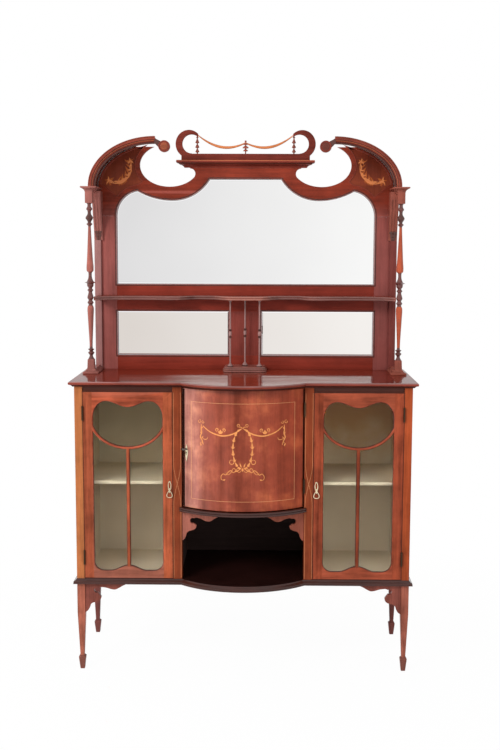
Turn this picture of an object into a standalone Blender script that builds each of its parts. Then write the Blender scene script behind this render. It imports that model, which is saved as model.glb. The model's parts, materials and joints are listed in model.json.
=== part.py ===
"""Mirror-backed display cabinet in inlaid mahogany, built as separate pieces.

Metres, +Z up, front towards -Y. The origin is on the floor under the middle of the
cabinet's box. Every piece hangs from an empty on the front plane of the case, so the
depths below are measured back from that plane.
"""

from math import acos, asin, cos, degrees, pi, radians, sin, sqrt

import bmesh
import bpy
from mathutils import Matrix, Vector

# Clearance between pieces that are glued or seated
GAP = 0.0003

# Lower case
CASE_W = 1.184
CASE_D = 0.400
CASE_H = 0.6915
LEG_H = 0.3195
POST = 0.028
END_T = 0.016
BACK_T = 0.012
BACK_INSET = 0.012
PARTITION_T = 0.018
RAIL_H = 0.017
RAIL_CLEAR = 0.002

# Top board and base board
TOP_T = 0.018
TOP_END_OVER = 0.018
TOP_FRONT_OVER = 0.020
TOP_BACK_OVER = 0.0045
TOP_BOW = 0.100
BASE_T = 0.0185
BASE_OVER = 0.012
BASE_BOW = 0.086
BOW_W = 0.438

# Bowed bay in the middle
BAY_W = 0.432
PILASTER_W = 0.032
PILASTER_D = 0.046
NICHE_H = 0.247
MID_SHELF_T = 0.016
MID_SHELF_LAP = 0.009
MID_SHELF_NOSE = 0.006
MID_SHELF_BOW = 0.0865

# Legs and feet
LEG_SQUARE = 0.108
ANKLE = 0.0145
FOOT_H = 0.045
FOOT_W = 0.0246
TOE_W = 0.0150
FOOT_FLARE = 0.006

# Brackets
BRACKET_W = 0.145
BRACKET_H = 0.108
LEG_BRACKET_T = 0.018
NICHE_BRACKET_W = 0.131
NICHE_BRACKET_H = 0.108
NICHE_BRACKET_T = 0.012
NICHE_BRACKET_DROP = 0.014
BRACKET_SET = 0.004

# Side cupboards
CUP_SHELF_UP = 0.334
CUP_SHELF_T = 0.012

# Side doors
DOOR_T = 0.020
DOOR_GAP = 0.003
LATCH_GAP = 0.0015
DOOR_STILE = 0.0335
DOOR_HEAD = 0.032
DOOR_FOOT = 0.0245
LOBE_IN = 0.046
LOBE_H = 0.058
HEAD_DIP = 0.021
KIDNEY_DROP = 0.105
KIDNEY_FULL = 0.005
BAR_W = 0.008
MULLION_W = 0.011
FOOT_LOBE_IN = 0.0575
FOOT_PEAK = 0.0195
FOOT_CORNER = 0.034
BAR_DEPTH = 0.012
REBATE = 0.007
GLASS_T = 0.003

# Bowed door
BOW_DOOR_T = 0.020
BOW_DOOR_SET = 0.004
BOW_DOOR_RISE = 0.086
LOCK_GAP = 0.004

# Hinges
HINGE_GAP = 0.0018
HINGE_R = 0.0035
HINGE_OUT = 0.0042
HINGE_L = 0.052
HINGE_END = 0.075
LEAF_T = 0.001
LEAF_D = 0.018

# Drop pulls on the side doors
PULL_UP = 0.329
PULL_IN = 0.0095
PLATE_W = 0.0125
PLATE_H = 0.036
PLATE_T = 0.0016
PLATE_RISE = 0.009
PULL_OUT = 0.0063
EAR_T = 0.0015
EAR_H = 0.0046
PIN_R = 0.0011
EYE_R = 0.0030
EYE_BORE = 0.0016
EYE_W = 0.0052
DROP_W = 0.0145
DROP_H = 0.0280
WIRE_R = 0.0016

# Lock on the bowed door
KEY_UP = 0.474
KEY_IN = 0.014
KEY_R = 0.0024
KEY_DEEP = 0.010
KEY_SHANK = 0.0075
KEY_BOW_W = 0.0150
KEY_BOW_L = 0.0080
KEY_BOW_T = 0.0028
KEY_EYE = 0.0060
ESCUTCHEON_W = 0.017
ESCUTCHEON_H = 0.064
ESCUTCHEON_T = 0.0014
ESCUTCHEON_DROP = 0.014
BOLT_L = 0.016
BOLT_H = 0.010
BOLT_T = 0.006
BOLT_DROP = 0.018
BOLT_THROW = 0.007
KEEP_PLAY = 0.0008
KEEP_SPARE = 0.005

# Mirror back: frame
FRAME_IN = 0.023
FRAME_T = 0.014
STILE_W = 0.082
STRIP_W = 0.025
STRIP_T = 0.012
BOTTOM_RAIL_H = 0.0532
SMALL_MIRROR_H = 0.168
MID_RAIL_H = 0.102
MIRROR_SIDE_H = 0.256
MUNTIN_W = 0.124
MIRROR_T = 0.004
MIRROR_LAP = 0.008
BACKBOARD_T = 0.006
BACKBOARD_LAP = 0.006

# Mirror back: crest, measured up from the spring of the mirror head and in from the frame's edge
LOBE_R = 0.0965
CUSP_TURN = 100.0
VALLEY_IN = 0.2934
VALLEY_UP = 0.0598
VALLEY_R = 0.165
HEAD_UP = 0.1385
CREST_H = 0.1795
SCROLL_IN = 0.284
SCROLL_UP = 0.1885
SCROLL_W = 0.111
SCROLL_H = 0.079
SCROLL_TURN = 325.0
HOOK_R = 0.020
BEAK_TURN = 121.0

# Hoods
HOOD_IN = 0.246
HOOD_RUN = 0.244
HOOD_RISE = 0.178
HOOD_BAND = 0.0275
HOOD_DEEP = 0.018
HOOD_LIP = 0.002
CANOPY_T = 0.011
CANOPY_TURN = 112.0
ROUNDEL_R = 0.021
ROUNDEL_RUN = 0.0325
ROUNDEL_DROP = 0.036

# Columns, capitals and plinths
COLUMN_IN = 0.002
COLUMN_OUT = 0.1354
BLOCK_W = 0.027
BLOCK_H = 0.039
FOOT_BLOCK_H = 0.035
CAP_UP = 0.0825
CAP_H = 0.021
CAP_SPREAD = 0.0150
CORBEL_W = 0.032
CORBEL_H = 0.172
CORBEL_OUT = 0.058
CORBEL_TOE = 0.010
PLINTH_H = 0.017
PLINTH_SPREAD = 0.0150

# Display shelf, spindles and their plinth
SHELF_UP = 0.047
SHELF_T = 0.015
SHELF_WING_OUT = 0.0954
SHELF_RECESS_OUT = 0.0454
SHELF_NOSE_OUT = 0.1134
SPINDLE_X = 0.0545
SPINDLE_OUT = 0.0754
MID_SPINDLE_OUT = 0.0334
SPINDLE_R = 0.0042
LOW_PLINTH_H = 0.0185
LOW_PLINTH_R = 0.028

# Cornice and gallery
CORNICE_OVER = 0.0495
CORNICE_H = 0.027
CORNICE_OUT = 0.030
GALLERY_T = 0.010
GALLERY_OVER = 0.003
GALLERY_OUT = 0.014
GALLERY_RAIL_H = 0.0235
GALLERY_H = 0.1105
SCROLL_END_W = 0.0498
SCROLL_END_H = 0.0515
SCROLL_END_TURN = 46.0
SCROLL_EYE_R = 0.0345
SCROLL_EYE_IN = 0.0103
SWAG_DROP = 0.0445
SWAG_SAG = 0.0265
SWAG_THICK = 0.0085
SWAG_THIN = 0.0042
BALUSTER_BACK = 0.0035
BALUSTER_R = 0.0066
FINIAL_R = 0.0105

# Levels and lines worked out from the sizes above
FLOOR_Z = LEG_H + BASE_T
CEIL_Z = FLOOR_Z + CASE_H
DESK_Z = CEIL_Z + TOP_T
CASE_X = CASE_W / 2
POST_X = CASE_X - POST / 2
INNER_X = CASE_X - POST
BAY_X = BAY_W / 2
PILASTER_X = BAY_X + PILASTER_W / 2
DOOR_NEAR = BAY_X + PILASTER_W + LATCH_GAP
DOOR_FAR = INNER_X - HINGE_GAP
DOOR_X = (DOOR_NEAR + DOOR_FAR) / 2
DOOR_LOW = FLOOR_Z + DOOR_GAP
DOOR_TOP = CEIL_Z - RAIL_H - DOOR_GAP
SIGHT_HALF = (DOOR_FAR - DOOR_NEAR) / 2 - DOOR_STILE
LOBE_SPREAD = SIGHT_HALF - LOBE_IN
FOOT_LOBE = SIGHT_HALF - FOOT_LOBE_IN
BACK_Y = CASE_D - BACK_INSET - BACK_T
MID_SHELF_Z = FLOOR_Z + NICHE_H
FACE_Y = (TOP_FRONT_OVER + TOP_BOW - CASE_D - TOP_BACK_OVER) / 2

FRAME_X = CASE_X - FRAME_IN
SIGHT_X = FRAME_X - STILE_W
FRAME_Y = CASE_D - FRAME_T - MIRROR_T - BACKBOARD_T - 2 * GAP
MIRROR_Y = FRAME_Y + FRAME_T + GAP
BACKBOARD_Y = MIRROR_Y + MIRROR_T + GAP
LOW_RAIL_TOP = DESK_Z + BOTTOM_RAIL_H
MID_RAIL_LOW = LOW_RAIL_TOP + SMALL_MIRROR_H
MID_RAIL_TOP = MID_RAIL_LOW + MID_RAIL_H
SPRING_Z = MID_RAIL_TOP + MIRROR_SIDE_H
CREST_TOP = SPRING_Z + CREST_H
CAP_Z = SPRING_Z + CAP_UP
HOOD_Z = CAP_Z + CAP_H + GAP
HOOD_X = FRAME_X - HOOD_IN
COLUMN_X = FRAME_X - COLUMN_IN
COLUMN_Y = FRAME_Y - COLUMN_OUT
SPINDLE_Y = FRAME_Y - SPINDLE_OUT
PLINTH_TOP = DESK_Z + GAP + PLINTH_H
SHELF_Z = MID_RAIL_LOW + SHELF_UP
SCROLL_X = FRAME_X - SCROLL_IN
SCROLL_Z = SPRING_Z + SCROLL_UP
HOOK_X = SCROLL_X - SCROLL_W * cos(radians(SCROLL_TURN)) + HOOK_R * cos(pi / 4)
CORNICE_Z = CREST_TOP + GAP
GALLERY_Z = CORNICE_Z + CORNICE_H + GAP

# Radius and centre of the bowed door's face, whose chord is the bay
BOW_R = (BAY_X ** 2 + BOW_DOOR_RISE ** 2) / (2 * BOW_DOOR_RISE)
BOW_Y = BOW_DOOR_SET - BOW_DOOR_RISE + BOW_R
BOW_DOOR_LOW = MID_SHELF_Z + MID_SHELF_T + DOOR_GAP
BOW_DOOR_TOP = CEIL_Z - DOOR_GAP
BOW_LEFT = -(BAY_X - LOCK_GAP)
BOW_RIGHT = BAY_X - HINGE_GAP
RAIL_Y = BOW_Y - sqrt((BOW_R - BOW_DOOR_T) ** 2 - BOW_RIGHT ** 2) + RAIL_CLEAR
RAIL_T = PILASTER_D - RAIL_Y

# How a flat outline is stood up: thickness up, thickness in depth, thickness across
PLAN = (0.0, 0.0, 0.0)
FRONT = (pi / 2, 0.0, 0.0)
SIDE = (pi / 2, 0.0, pi / 2)

ROUND = 10
SIDES = ((-1, "left"), (1, "right"))


# Scene and materials

def clear_scene():
    for obj in list(bpy.data.objects):
        bpy.data.objects.remove(obj, do_unlink=True)


def new_collection(name):
    collection = bpy.data.collections.new(name)
    bpy.context.scene.collection.children.link(collection)
    return collection


def new_material(name, colour, roughness, metallic=0.0):
    material = bpy.data.materials.new(name)
    material.use_nodes = True
    shader = material.node_tree.nodes["Principled BSDF"]
    shader.inputs["Base Color"].default_value = (*colour, 1.0)
    shader.inputs["Roughness"].default_value = roughness
    shader.inputs["Metallic"].default_value = metallic
    return material


def new_empty(name, location, parent=None):
    empty = bpy.data.objects.new(name, None)
    empty.location = location
    empty.parent = parent
    PARTS.objects.link(empty)
    return empty


clear_scene()
PARTS = new_collection("display_cabinet")
CUTTERS = new_collection("cutters")
MAHOGANY = new_material("mahogany", (0.20, 0.045, 0.022), 0.28)
DARK = new_material("dark_mahogany", (0.09, 0.022, 0.014), 0.35)
LINING = new_material("lined_wood", (0.34, 0.29, 0.19), 0.75)
BRASS = new_material("brass", (0.72, 0.55, 0.26), 0.28, 1.0)
GLASS = new_material("glass", (0.86, 0.88, 0.84), 0.05)
SILVER = new_material("mirror", (0.86, 0.86, 0.84), 0.03, 1.0)
DATUM = new_empty("case_front", (0.0, FACE_Y, 0.0))


# Outlines

def arc(cx, cy, rx, ry, start, stop, steps):
    """Points of an elliptical arc, angles in degrees."""
    turns = [radians(start + (stop - start) * i / steps) for i in range(steps + 1)]
    return [(cx + rx * cos(t), cy + ry * sin(t)) for t in turns]


def smooth(knots, steps):
    """Points of a smooth curve through the knots."""
    ends = [knots[0], *knots, knots[-1]]
    points = []
    for a, b, c, d in zip(ends, ends[1:], ends[2:], ends[3:]):
        for i in range(steps):
            t = i / steps
            w = (-t + 2 * t * t - t ** 3, 2 - 5 * t * t + 3 * t ** 3,
                 t + 4 * t * t - 3 * t ** 3, t ** 3 - t * t)
            points.append(tuple(sum(k * p[n] for k, p in zip(w, (a, b, c, d))) / 2 for n in (0, 1)))
    return [*points, knots[-1]]


def flip(points):
    """The same run of points on the other side of the middle line, in reverse order."""
    return [(-x, y) for x, y in reversed(points)]


def sided(points, side):
    """Points drawn for the left, put on the side asked for."""
    return [(-side * x, y) for x, y in points]


def rectangle(x0, x1, y0, y1):
    return [(x0, y0), (x1, y0), (x1, y1), (x0, y1)]


# Meshes and objects

def weld(mesh):
    shape = bmesh.new()
    shape.from_mesh(mesh)
    bmesh.ops.remove_doubles(shape, verts=shape.verts, dist=0.000005)
    bmesh.ops.recalc_face_normals(shape, faces=shape.faces)
    shape.to_mesh(mesh)
    shape.free()


def curve_mesh(name, loops, settings, flat):
    """A mesh from closed runs of points, drawn as one curve."""
    curve = bpy.data.curves.new(name, "CURVE")
    curve.dimensions = "2D" if flat else "3D"
    for setting, value in settings.items():
        setattr(curve, setting, value)
    for loop in loops:
        spline = curve.splines.new("POLY")
        spline.points.add(len(loop) - 1)
        for point, place in zip(spline.points, loop):
            point.co = (*place, 1.0) if len(place) == 3 else (*place, 0.0, 1.0)
        spline.use_cyclic_u = True
    drawn = bpy.data.objects.new(name, curve)
    PARTS.objects.link(drawn)
    graph = bpy.context.evaluated_depsgraph_get()
    mesh = bpy.data.meshes.new_from_object(drawn.evaluated_get(graph))
    bpy.data.objects.remove(drawn, do_unlink=True)
    weld(mesh)
    return mesh


def plate_mesh(name, loops, thickness):
    """A flat outline, holes included, with half its thickness to each side."""
    return curve_mesh(name, loops, {"fill_mode": "BOTH", "extrude": thickness / 2}, True)


def ring_mesh(name, loop, radius):
    """A closed wire along a run of points."""
    settings = {"bevel_depth": radius, "bevel_resolution": 1, "fill_mode": "FULL"}
    return curve_mesh(name, [loop], settings, False)


def box_mesh(name, size):
    shape = bmesh.new()
    bmesh.ops.create_cube(shape, size=1.0, matrix=Matrix.Diagonal((*size, 1.0)))
    mesh = bpy.data.meshes.new(name)
    shape.to_mesh(mesh)
    shape.free()
    return mesh


def loft_mesh(name, sections):
    """Rings of equal count stacked from the bottom up and closed at both ends."""
    shape = bmesh.new()
    rings = [[shape.verts.new(point) for point in section] for section in sections]
    for lower, upper in zip(rings, rings[1:]):
        for i in range(len(lower)):
            j = (i + 1) % len(lower)
            shape.faces.new((lower[i], lower[j], upper[j], upper[i]))
    shape.faces.new(list(reversed(rings[0])))
    shape.faces.new(rings[-1])
    bmesh.ops.recalc_face_normals(shape, faces=shape.faces)
    mesh = bpy.data.meshes.new(name)
    shape.to_mesh(mesh)
    shape.free()
    return mesh


def profile_mesh(name, profile):
    """An open profile of (height, radius) pairs, from the top down its outer side."""
    mesh = bpy.data.meshes.new(name)
    points = [(radius, 0.0, height) for height, radius in profile]
    mesh.from_pydata(points, [(i, i + 1) for i in range(len(points) - 1)], [])
    return mesh


def place(name, mesh, location, rotation, material, carrier=None, tool=False):
    """An object on its carrier, placed in depths measured from the case front."""
    obj = bpy.data.objects.new(name, mesh)
    obj.location = location
    obj.rotation_euler = rotation
    obj.parent = carrier or DATUM
    if carrier:
        obj.matrix_parent_inverse = Matrix.Translation(-carrier.location)
    mesh.materials.clear()
    mesh.materials.append(material)
    (CUTTERS if tool else PARTS).objects.link(obj)
    if tool:
        obj.hide_render = True
        obj.display_type = "WIRE"
    return obj


def round_off(obj):
    obj.data.shade_smooth()
    obj.data.set_sharp_from_angle(angle=radians(35))
    return obj


def turn(obj, steps):
    """Spin an object's profile about its own upright axis."""
    screw = obj.modifiers.new("turned", "SCREW")
    screw.steps = steps
    screw.render_steps = steps
    screw.use_merge_vertices = True
    screw.merge_threshold = 0.00001
    return obj


def combine(obj, tool, operation):
    boolean = obj.modifiers.new(operation.lower(), "BOOLEAN")
    boolean.operation = operation
    boolean.solver = "EXACT"
    boolean.object = tool
    return obj


def plate(name, loops, thickness, location, rotation, material, carrier=None, tool=False):
    return place(name, plate_mesh(name, loops, thickness), location, rotation, material, carrier, tool)


def box(name, low, high, material, carrier=None, tool=False):
    size = [b - a for a, b in zip(low, high)]
    middle = [(a + b) / 2 for a, b in zip(low, high)]
    return place(name, box_mesh(name, size), middle, PLAN, material, carrier, tool)


def span_x(side, near, far):
    """Low and high X of a stretch given by its distances from the middle line."""
    return (near, far) if side > 0 else (-far, -near)


def side_box(name, side, xs, ys, zs, material, carrier=None, tool=False):
    x0, x1 = span_x(side, *xs)
    return box(name, (x0, ys[0], zs[0]), (x1, ys[1], zs[1]), material, carrier, tool)


def square_leg(name, profile, location, material, tool=False):
    """A tapered square piece: (height, width) pairs from the top down."""
    turned = [(height, width / sqrt(2)) for height, width in profile]
    ends = [(turned[0][0], 0.0), *turned, (turned[-1][0], 0.0)]
    return turn(place(name, profile_mesh(name, ends), location, (0.0, 0.0, pi / 4), material, None, tool), 4)


def turned_piece(name, profile, location, material, steps=ROUND, rotation=PLAN, carrier=None, tool=False):
    """A round piece: (height, radius) pairs from the top down."""
    ends = [(profile[0][0], 0.0), *profile, (profile[-1][0], 0.0)]
    obj = place(name, profile_mesh(name, ends), location, rotation, material, carrier, tool)
    return turn(round_off(obj), steps)


def stacked(name, outline, rings, material):
    """A moulded slab: rings of (height, offset of the outline) from the bottom up."""
    sections = [[(x, y, height) for x, y in outline(offset)] for height, offset in rings]
    return place(name, loft_mesh(name, sections), (0.0, 0.0, 0.0), PLAN, material)


# Lower case

def bowed_outline(half, front, back, chord_half, rise, offset, steps=18):
    """Plan of a board whose front swells in a bow between two straight wings."""
    radius = (chord_half ** 2 + rise ** 2) / (2 * rise)
    middle = front - rise + radius
    reach = middle - front + offset
    turn_half = degrees(acos(reach / (radius + offset)))
    bow = arc(0.0, middle, radius + offset, radius + offset, -90 - turn_half, -90 + turn_half, steps)
    x = half + offset
    y = front - offset
    return [(-x, back), (-x, y), *bow, (x, y), (x, back)]


def make_top_board():
    def outline(offset):
        return bowed_outline(CASE_X + TOP_END_OVER, -TOP_FRONT_OVER, CASE_D + TOP_BACK_OVER, BOW_W / 2,
                             TOP_BOW, offset)

    lip = TOP_T / 3
    rings = [(CEIL_Z, -lip), (CEIL_Z + lip / 2, -lip / 3), (CEIL_Z + lip, 0.0), (DESK_Z - lip, 0.0),
             (DESK_Z - lip / 3, -lip / 4), (DESK_Z, -lip)]
    return stacked("top_board", outline, rings, MAHOGANY)


def make_base_board():
    def outline(offset):
        return bowed_outline(CASE_X + BASE_OVER, -BASE_OVER, CASE_D, BOW_W / 2, BASE_BOW, offset)

    fillet = BASE_T / 4
    hollow = BASE_OVER / 2
    rings = [(LEG_H, 0.0), (LEG_H + fillet, 0.0), (LEG_H + 2 * fillet, -hollow / 2),
             (LEG_H + 3 * fillet, -1.5 * hollow), (FLOOR_Z, -1.8 * hollow)]
    board = stacked("base_board", outline, rings, DARK)
    low, high = LEG_H - BASE_T, FLOOR_Z + BASE_T
    hole = POST / 2 + GAP
    for side, word in SIDES:
        xs = (POST_X - hole, POST_X + hole)
        zs = (low, high)
        front = side_box(f"{word}_front_post_hole", side, xs, (-GAP, POST + GAP), zs, DARK, None, True)
        rear_ys = (CASE_D - POST - GAP, CASE_D + POST)
        rear = side_box(f"{word}_rear_post_hole", side, xs, rear_ys, zs, DARK, None, True)
        combine(board, front, "DIFFERENCE")
        combine(board, rear, "DIFFERENCE")
    return board


def make_legs():
    profile = [(CEIL_Z - GAP, POST), (LEG_H - LEG_SQUARE, POST), (FOOT_H + FOOT_FLARE, ANKLE),
               (FOOT_H, FOOT_W), (0.0, TOE_W)]
    for side, word in SIDES:
        for depth, y in (("front", POST / 2), ("back", CASE_D - POST / 2)):
            square_leg(f"{word}_{depth}_leg", profile, (side * POST_X, y, 0.0), MAHOGANY)


def make_case_boards():
    low, high = FLOOR_Z + GAP, CEIL_Z - GAP
    half = INNER_X - GAP
    box("back_panel", (-half, BACK_Y, low), (half, BACK_Y + BACK_T, high), DARK)
    box("top_rail", (-half, RAIL_Y, high - RAIL_H), (half, RAIL_Y + RAIL_T, high), DARK)
    for side, word in SIDES:
        side_box(f"{word}_end_panel", side, (INNER_X, INNER_X + END_T), (POST + GAP, CASE_D - POST - GAP),
                 (low, high), MAHOGANY)
        side_box(f"{word}_partition", side, (PILASTER_X - PARTITION_T / 2, PILASTER_X + PARTITION_T / 2),
                 (PILASTER_D + GAP, BACK_Y - GAP), (low, high), DARK)
        make_pilaster(side, word, low, high)
        shelf_low = FLOOR_Z + CUP_SHELF_UP
        side_box(f"{word}_cupboard_shelf", side, (PILASTER_X + PARTITION_T / 2 + GAP, INNER_X - GAP),
                 (PILASTER_D + GAP, BACK_Y - GAP), (shelf_low, shelf_low + CUP_SHELF_T), LINING)


def make_pilaster(side, word, low, high):
    xs = (BAY_X, BAY_X + PILASTER_W)
    pilaster = side_box(f"{word}_pilaster", side, xs, (0.0, PILASTER_D), (low, high), MAHOGANY)
    notch = side_box(f"{word}_rail_notch", side, (xs[0] - RAIL_T, xs[1] + RAIL_T),
                     (RAIL_Y - GAP, PILASTER_D + RAIL_T), (high - RAIL_H - GAP, high + RAIL_H),
                     DARK, None, True)
    combine(pilaster, notch, "DIFFERENCE")
    if side < 0:
        deep = BOLT_THROW - LOCK_GAP + KEEP_SPARE
        y, z = bolt_y(), bolt_z()
        half_y, half_z = BOLT_T / 2 + KEEP_PLAY, BOLT_H / 2 + KEEP_PLAY
        strike = box("bolt_strike", (-BAY_X - deep, y - half_y, z - half_z),
                     (-BAY_X + BOLT_L, y + half_y, z + half_z), DARK, None, True)
        combine(pilaster, strike, "DIFFERENCE")


def make_mid_shelf():
    ear = BAY_X + MID_SHELF_LAP
    back_half = PILASTER_X - PARTITION_T / 2 - GAP
    rise = MID_SHELF_BOW

    def outline(offset):
        half = ear + offset
        nose = -MID_SHELF_NOSE - offset
        radius = (ear ** 2 + rise ** 2) / (2 * rise) + offset
        middle = nose - rise + radius
        turn_half = degrees(asin(half / radius))
        bow = arc(0.0, middle, radius, radius, -90 - turn_half, -90 + turn_half, 18)
        left = [(-back_half, BACK_Y - GAP), (-back_half, PILASTER_D + GAP),
                (-BAY_X + GAP, PILASTER_D + GAP), (-BAY_X + GAP, -GAP), (-half, -GAP)]
        return [*left, *bow, *flip(left)]

    reed = MID_SHELF_T / 4
    low = MID_SHELF_Z
    rings = [(low, -reed), (low + reed, 0.0), (low + 2 * reed, -reed / 2), (low + 3 * reed, 0.0),
             (low + MID_SHELF_T, -reed)]
    return stacked("mid_shelf", outline, rings, DARK)


def bracket_outline(width, height, drop):
    """A pierced-looking bracket: a wing, set down by a drop, a round bite and a short leg."""
    wing = smooth([(width, -0.045 * height - drop), (0.90 * width, -0.10 * height - drop),
                   (0.73 * width, -0.22 * height - drop), (0.55 * width, -0.165 * height - drop),
                   (0.37 * width, -0.16 * height - 0.6 * drop)], 3)
    bite = arc(0.335 * width, -0.245 * height - 0.6 * drop, 0.055 * width, 0.080 * height, 60.0, 285.0, 7)
    leg = smooth([(0.405 * width, -0.38 * height - 0.5 * drop), (0.385 * width, -0.52 * height),
                  (0.21 * width, -0.64 * height), (0.165 * width, -0.75 * height),
                  (0.06 * width, -0.95 * height), (0.0, -height)], 3)
    return [(0.0, 0.0), (width, 0.0), *wing, *bite, *leg]


def make_brackets():
    wide = bracket_outline(BRACKET_W, BRACKET_H, 0.0)
    narrow = bracket_outline(NICHE_BRACKET_W, NICHE_BRACKET_H, NICHE_BRACKET_DROP)
    for side, word in SIDES:
        plate(f"{word}_leg_bracket", [sided(wide, side)], LEG_BRACKET_T,
              (side * (INNER_X - GAP), BRACKET_SET + LEG_BRACKET_T / 2, LEG_H - GAP), FRONT, MAHOGANY)
        plate(f"{word}_niche_bracket", [sided(narrow, side)], NICHE_BRACKET_T,
              (side * (BAY_X - GAP), BRACKET_SET + NICHE_BRACKET_T / 2, MID_SHELF_Z - GAP), FRONT, MAHOGANY)


# Side doors

def head_curve(half):
    """The kidney's top from right to left: two lobes with a dip between them."""
    top = DOOR_TOP - DOOR_HEAD
    spring = top - LOBE_H
    corner = arc(LOBE_SPREAD, spring, half - LOBE_SPREAD, LOBE_H, 0.0, 90.0, 6)
    steps = 5
    dip = [(LOBE_SPREAD * (1 - i / steps), top - HEAD_DIP * (1 - cos(pi * i / steps)) / 2)
           for i in range(1, steps + 1)]
    right = [*corner, *dip]
    return [*right, *flip(right)[1:]]


def door_lights():
    """The three openings of a door, drawn about its own middle line."""
    half = SIGHT_HALF
    spring = DOOR_TOP - DOOR_HEAD - LOBE_H
    bowl = half + KIDNEY_FULL
    turned = degrees(acos(half / bowl))
    kidney = [*head_curve(half), *arc(0.0, spring, bowl, KIDNEY_DROP, 180.0 + turned, 360.0 - turned, 16)]
    wide, deep = bowl + BAR_W, KIDNEY_DROP + BAR_W
    start = degrees(acos(half / wide))
    stop = degrees(acos(MULLION_W / 2 / wide))
    under_bar = arc(0.0, spring, wide, deep, -start, -stop, 8)
    low = DOOR_LOW + DOOR_FOOT
    steps = 5
    foot_xs = [MULLION_W / 2 + (FOOT_LOBE - MULLION_W / 2) * i / steps for i in range(steps + 1)]
    foot = [(x, low + FOOT_PEAK * (1 + cos(pi * x / FOOT_LOBE)) / 2) for x in foot_xs]
    corner = arc(half - FOOT_CORNER, low + FOOT_CORNER, FOOT_CORNER, FOOT_CORNER, -90.0, 0.0, 5)
    light = [*under_bar, *foot, *corner]
    return [kidney, light, flip(light)]


def make_side_door(side, word):
    axis = new_empty(f"{word}_door_axis", (side * (INNER_X - HINGE_GAP / 2), -HINGE_OUT, 0.0), DATUM)
    half = (DOOR_FAR - DOOR_NEAR) / 2
    loops = [rectangle(-half, half, DOOR_LOW, DOOR_TOP), *door_lights()]
    centre = (side * DOOR_X, DOOR_T / 2, 0.0)
    frame = plate(f"{word}_door_frame", loops, DOOR_T, centre, FRONT, MAHOGANY, axis)
    reach = SIGHT_HALF + REBATE
    low, high = DOOR_LOW + DOOR_FOOT - REBATE, DOOR_TOP - DOOR_HEAD + REBATE
    xs = (DOOR_X - reach, DOOR_X + reach)
    rebate = side_box(f"{word}_rebate", side, xs, (BAR_DEPTH, 2 * DOOR_T), (low, high), DARK, axis, True)
    combine(frame, rebate, "DIFFERENCE")
    front = BAR_DEPTH + GAP
    side_box(f"{word}_door_glass", side, (xs[0] + GAP, xs[1] - GAP), (front, front + GLASS_T),
             (low + GAP, high - GAP), GLASS, axis)
    for height, z in (("lower", DOOR_LOW + HINGE_END), ("upper", DOOR_TOP - HINGE_END)):
        make_hinge(f"{word}_door_{height}_hinge", side * (INNER_X - HINGE_GAP / 2), z)
    make_pull(side, word, axis)


def make_hinge(name, x, z):
    """Barrel with its pin, and the leaf that lies in the joint beside the door."""
    nick = degrees(asin(LEAF_T / 2 / HINGE_R))
    barrel = arc(0.0, 0.0, HINGE_R, HINGE_R, 90.0 + nick, 450.0 - nick, 12)
    leaf = [(LEAF_T / 2, HINGE_OUT + LEAF_D), (-LEAF_T / 2, HINGE_OUT + LEAF_D)]
    hinge = plate(name, [[*barrel, *leaf]], HINGE_L, (x, -HINGE_OUT, z), PLAN, BRASS)
    return round_off(hinge)


def make_pull(side, word, axis):
    x = side * (DOOR_NEAR + PULL_IN)
    z = FLOOR_Z + PULL_UP
    oval = arc(0.0, PLATE_RISE, PLATE_W / 2, PLATE_H / 2, 0.0, 345.0, 23)
    face = -GAP - PLATE_T
    stand = plate(f"{word}_pull_plate", [oval], PLATE_T, (x, face + PLATE_T / 2, z), FRONT, BRASS, axis)
    inner = EYE_W / 2 + GAP
    tip = -PULL_OUT - EAR_H / 2
    for hand in (-1, 1):
        low, high = sorted((x + hand * inner, x + hand * (inner + EAR_T)))
        ear = box(f"{word}_ear_{hand}", (low, tip, z - EAR_H / 2),
                  (high, face + PLATE_T / 2, z + EAR_H / 2), BRASS, axis, True)
        combine(stand, ear, "UNION")
    length = EYE_W + 2 * GAP + EAR_T
    hang = (x, -PULL_OUT, z)
    pin = turned_piece(f"{word}_pull_pin", [(length / 2, PIN_R), (-length / 2, PIN_R)], hang, BRASS,
                       8, (0.0, pi / 2, 0.0), axis, True)
    combine(stand, pin, "UNION")
    eye_loops = [arc(0.0, 0.0, r, r, 0.0, 330.0, 11) for r in (EYE_R, EYE_BORE)]
    pull = plate(f"{word}_drop_pull", eye_loops, EYE_W, hang, SIDE, BRASS, axis)
    turns = [2 * pi * i / 20 for i in range(20)]
    top = -EYE_R - WIRE_R / 4
    pear = [(DROP_W * sin(t) * (0.55 - 0.45 * cos(t)), 0.0, top - DROP_H * (1 - cos(t)) / 2) for t in turns]
    wire = ring_mesh(f"{word}_drop", pear, WIRE_R)
    drop = place(f"{word}_drop", wire, hang, PLAN, BRASS, axis, True)
    combine(pull, drop, "UNION")


# Bowed door and its lock

def bow_face(x, inset=0.0):
    """Depth of the bowed door's face, or of a face inset behind it, at a distance across."""
    return BOW_Y - sqrt((BOW_R - inset) ** 2 - x * x)


def bolt_y():
    return (bow_face(BOW_LEFT) + bow_face(BOW_LEFT + BOLT_L, BOW_DOOR_T)) / 2


def bolt_z():
    return FLOOR_Z + KEY_UP - BOLT_DROP


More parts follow.
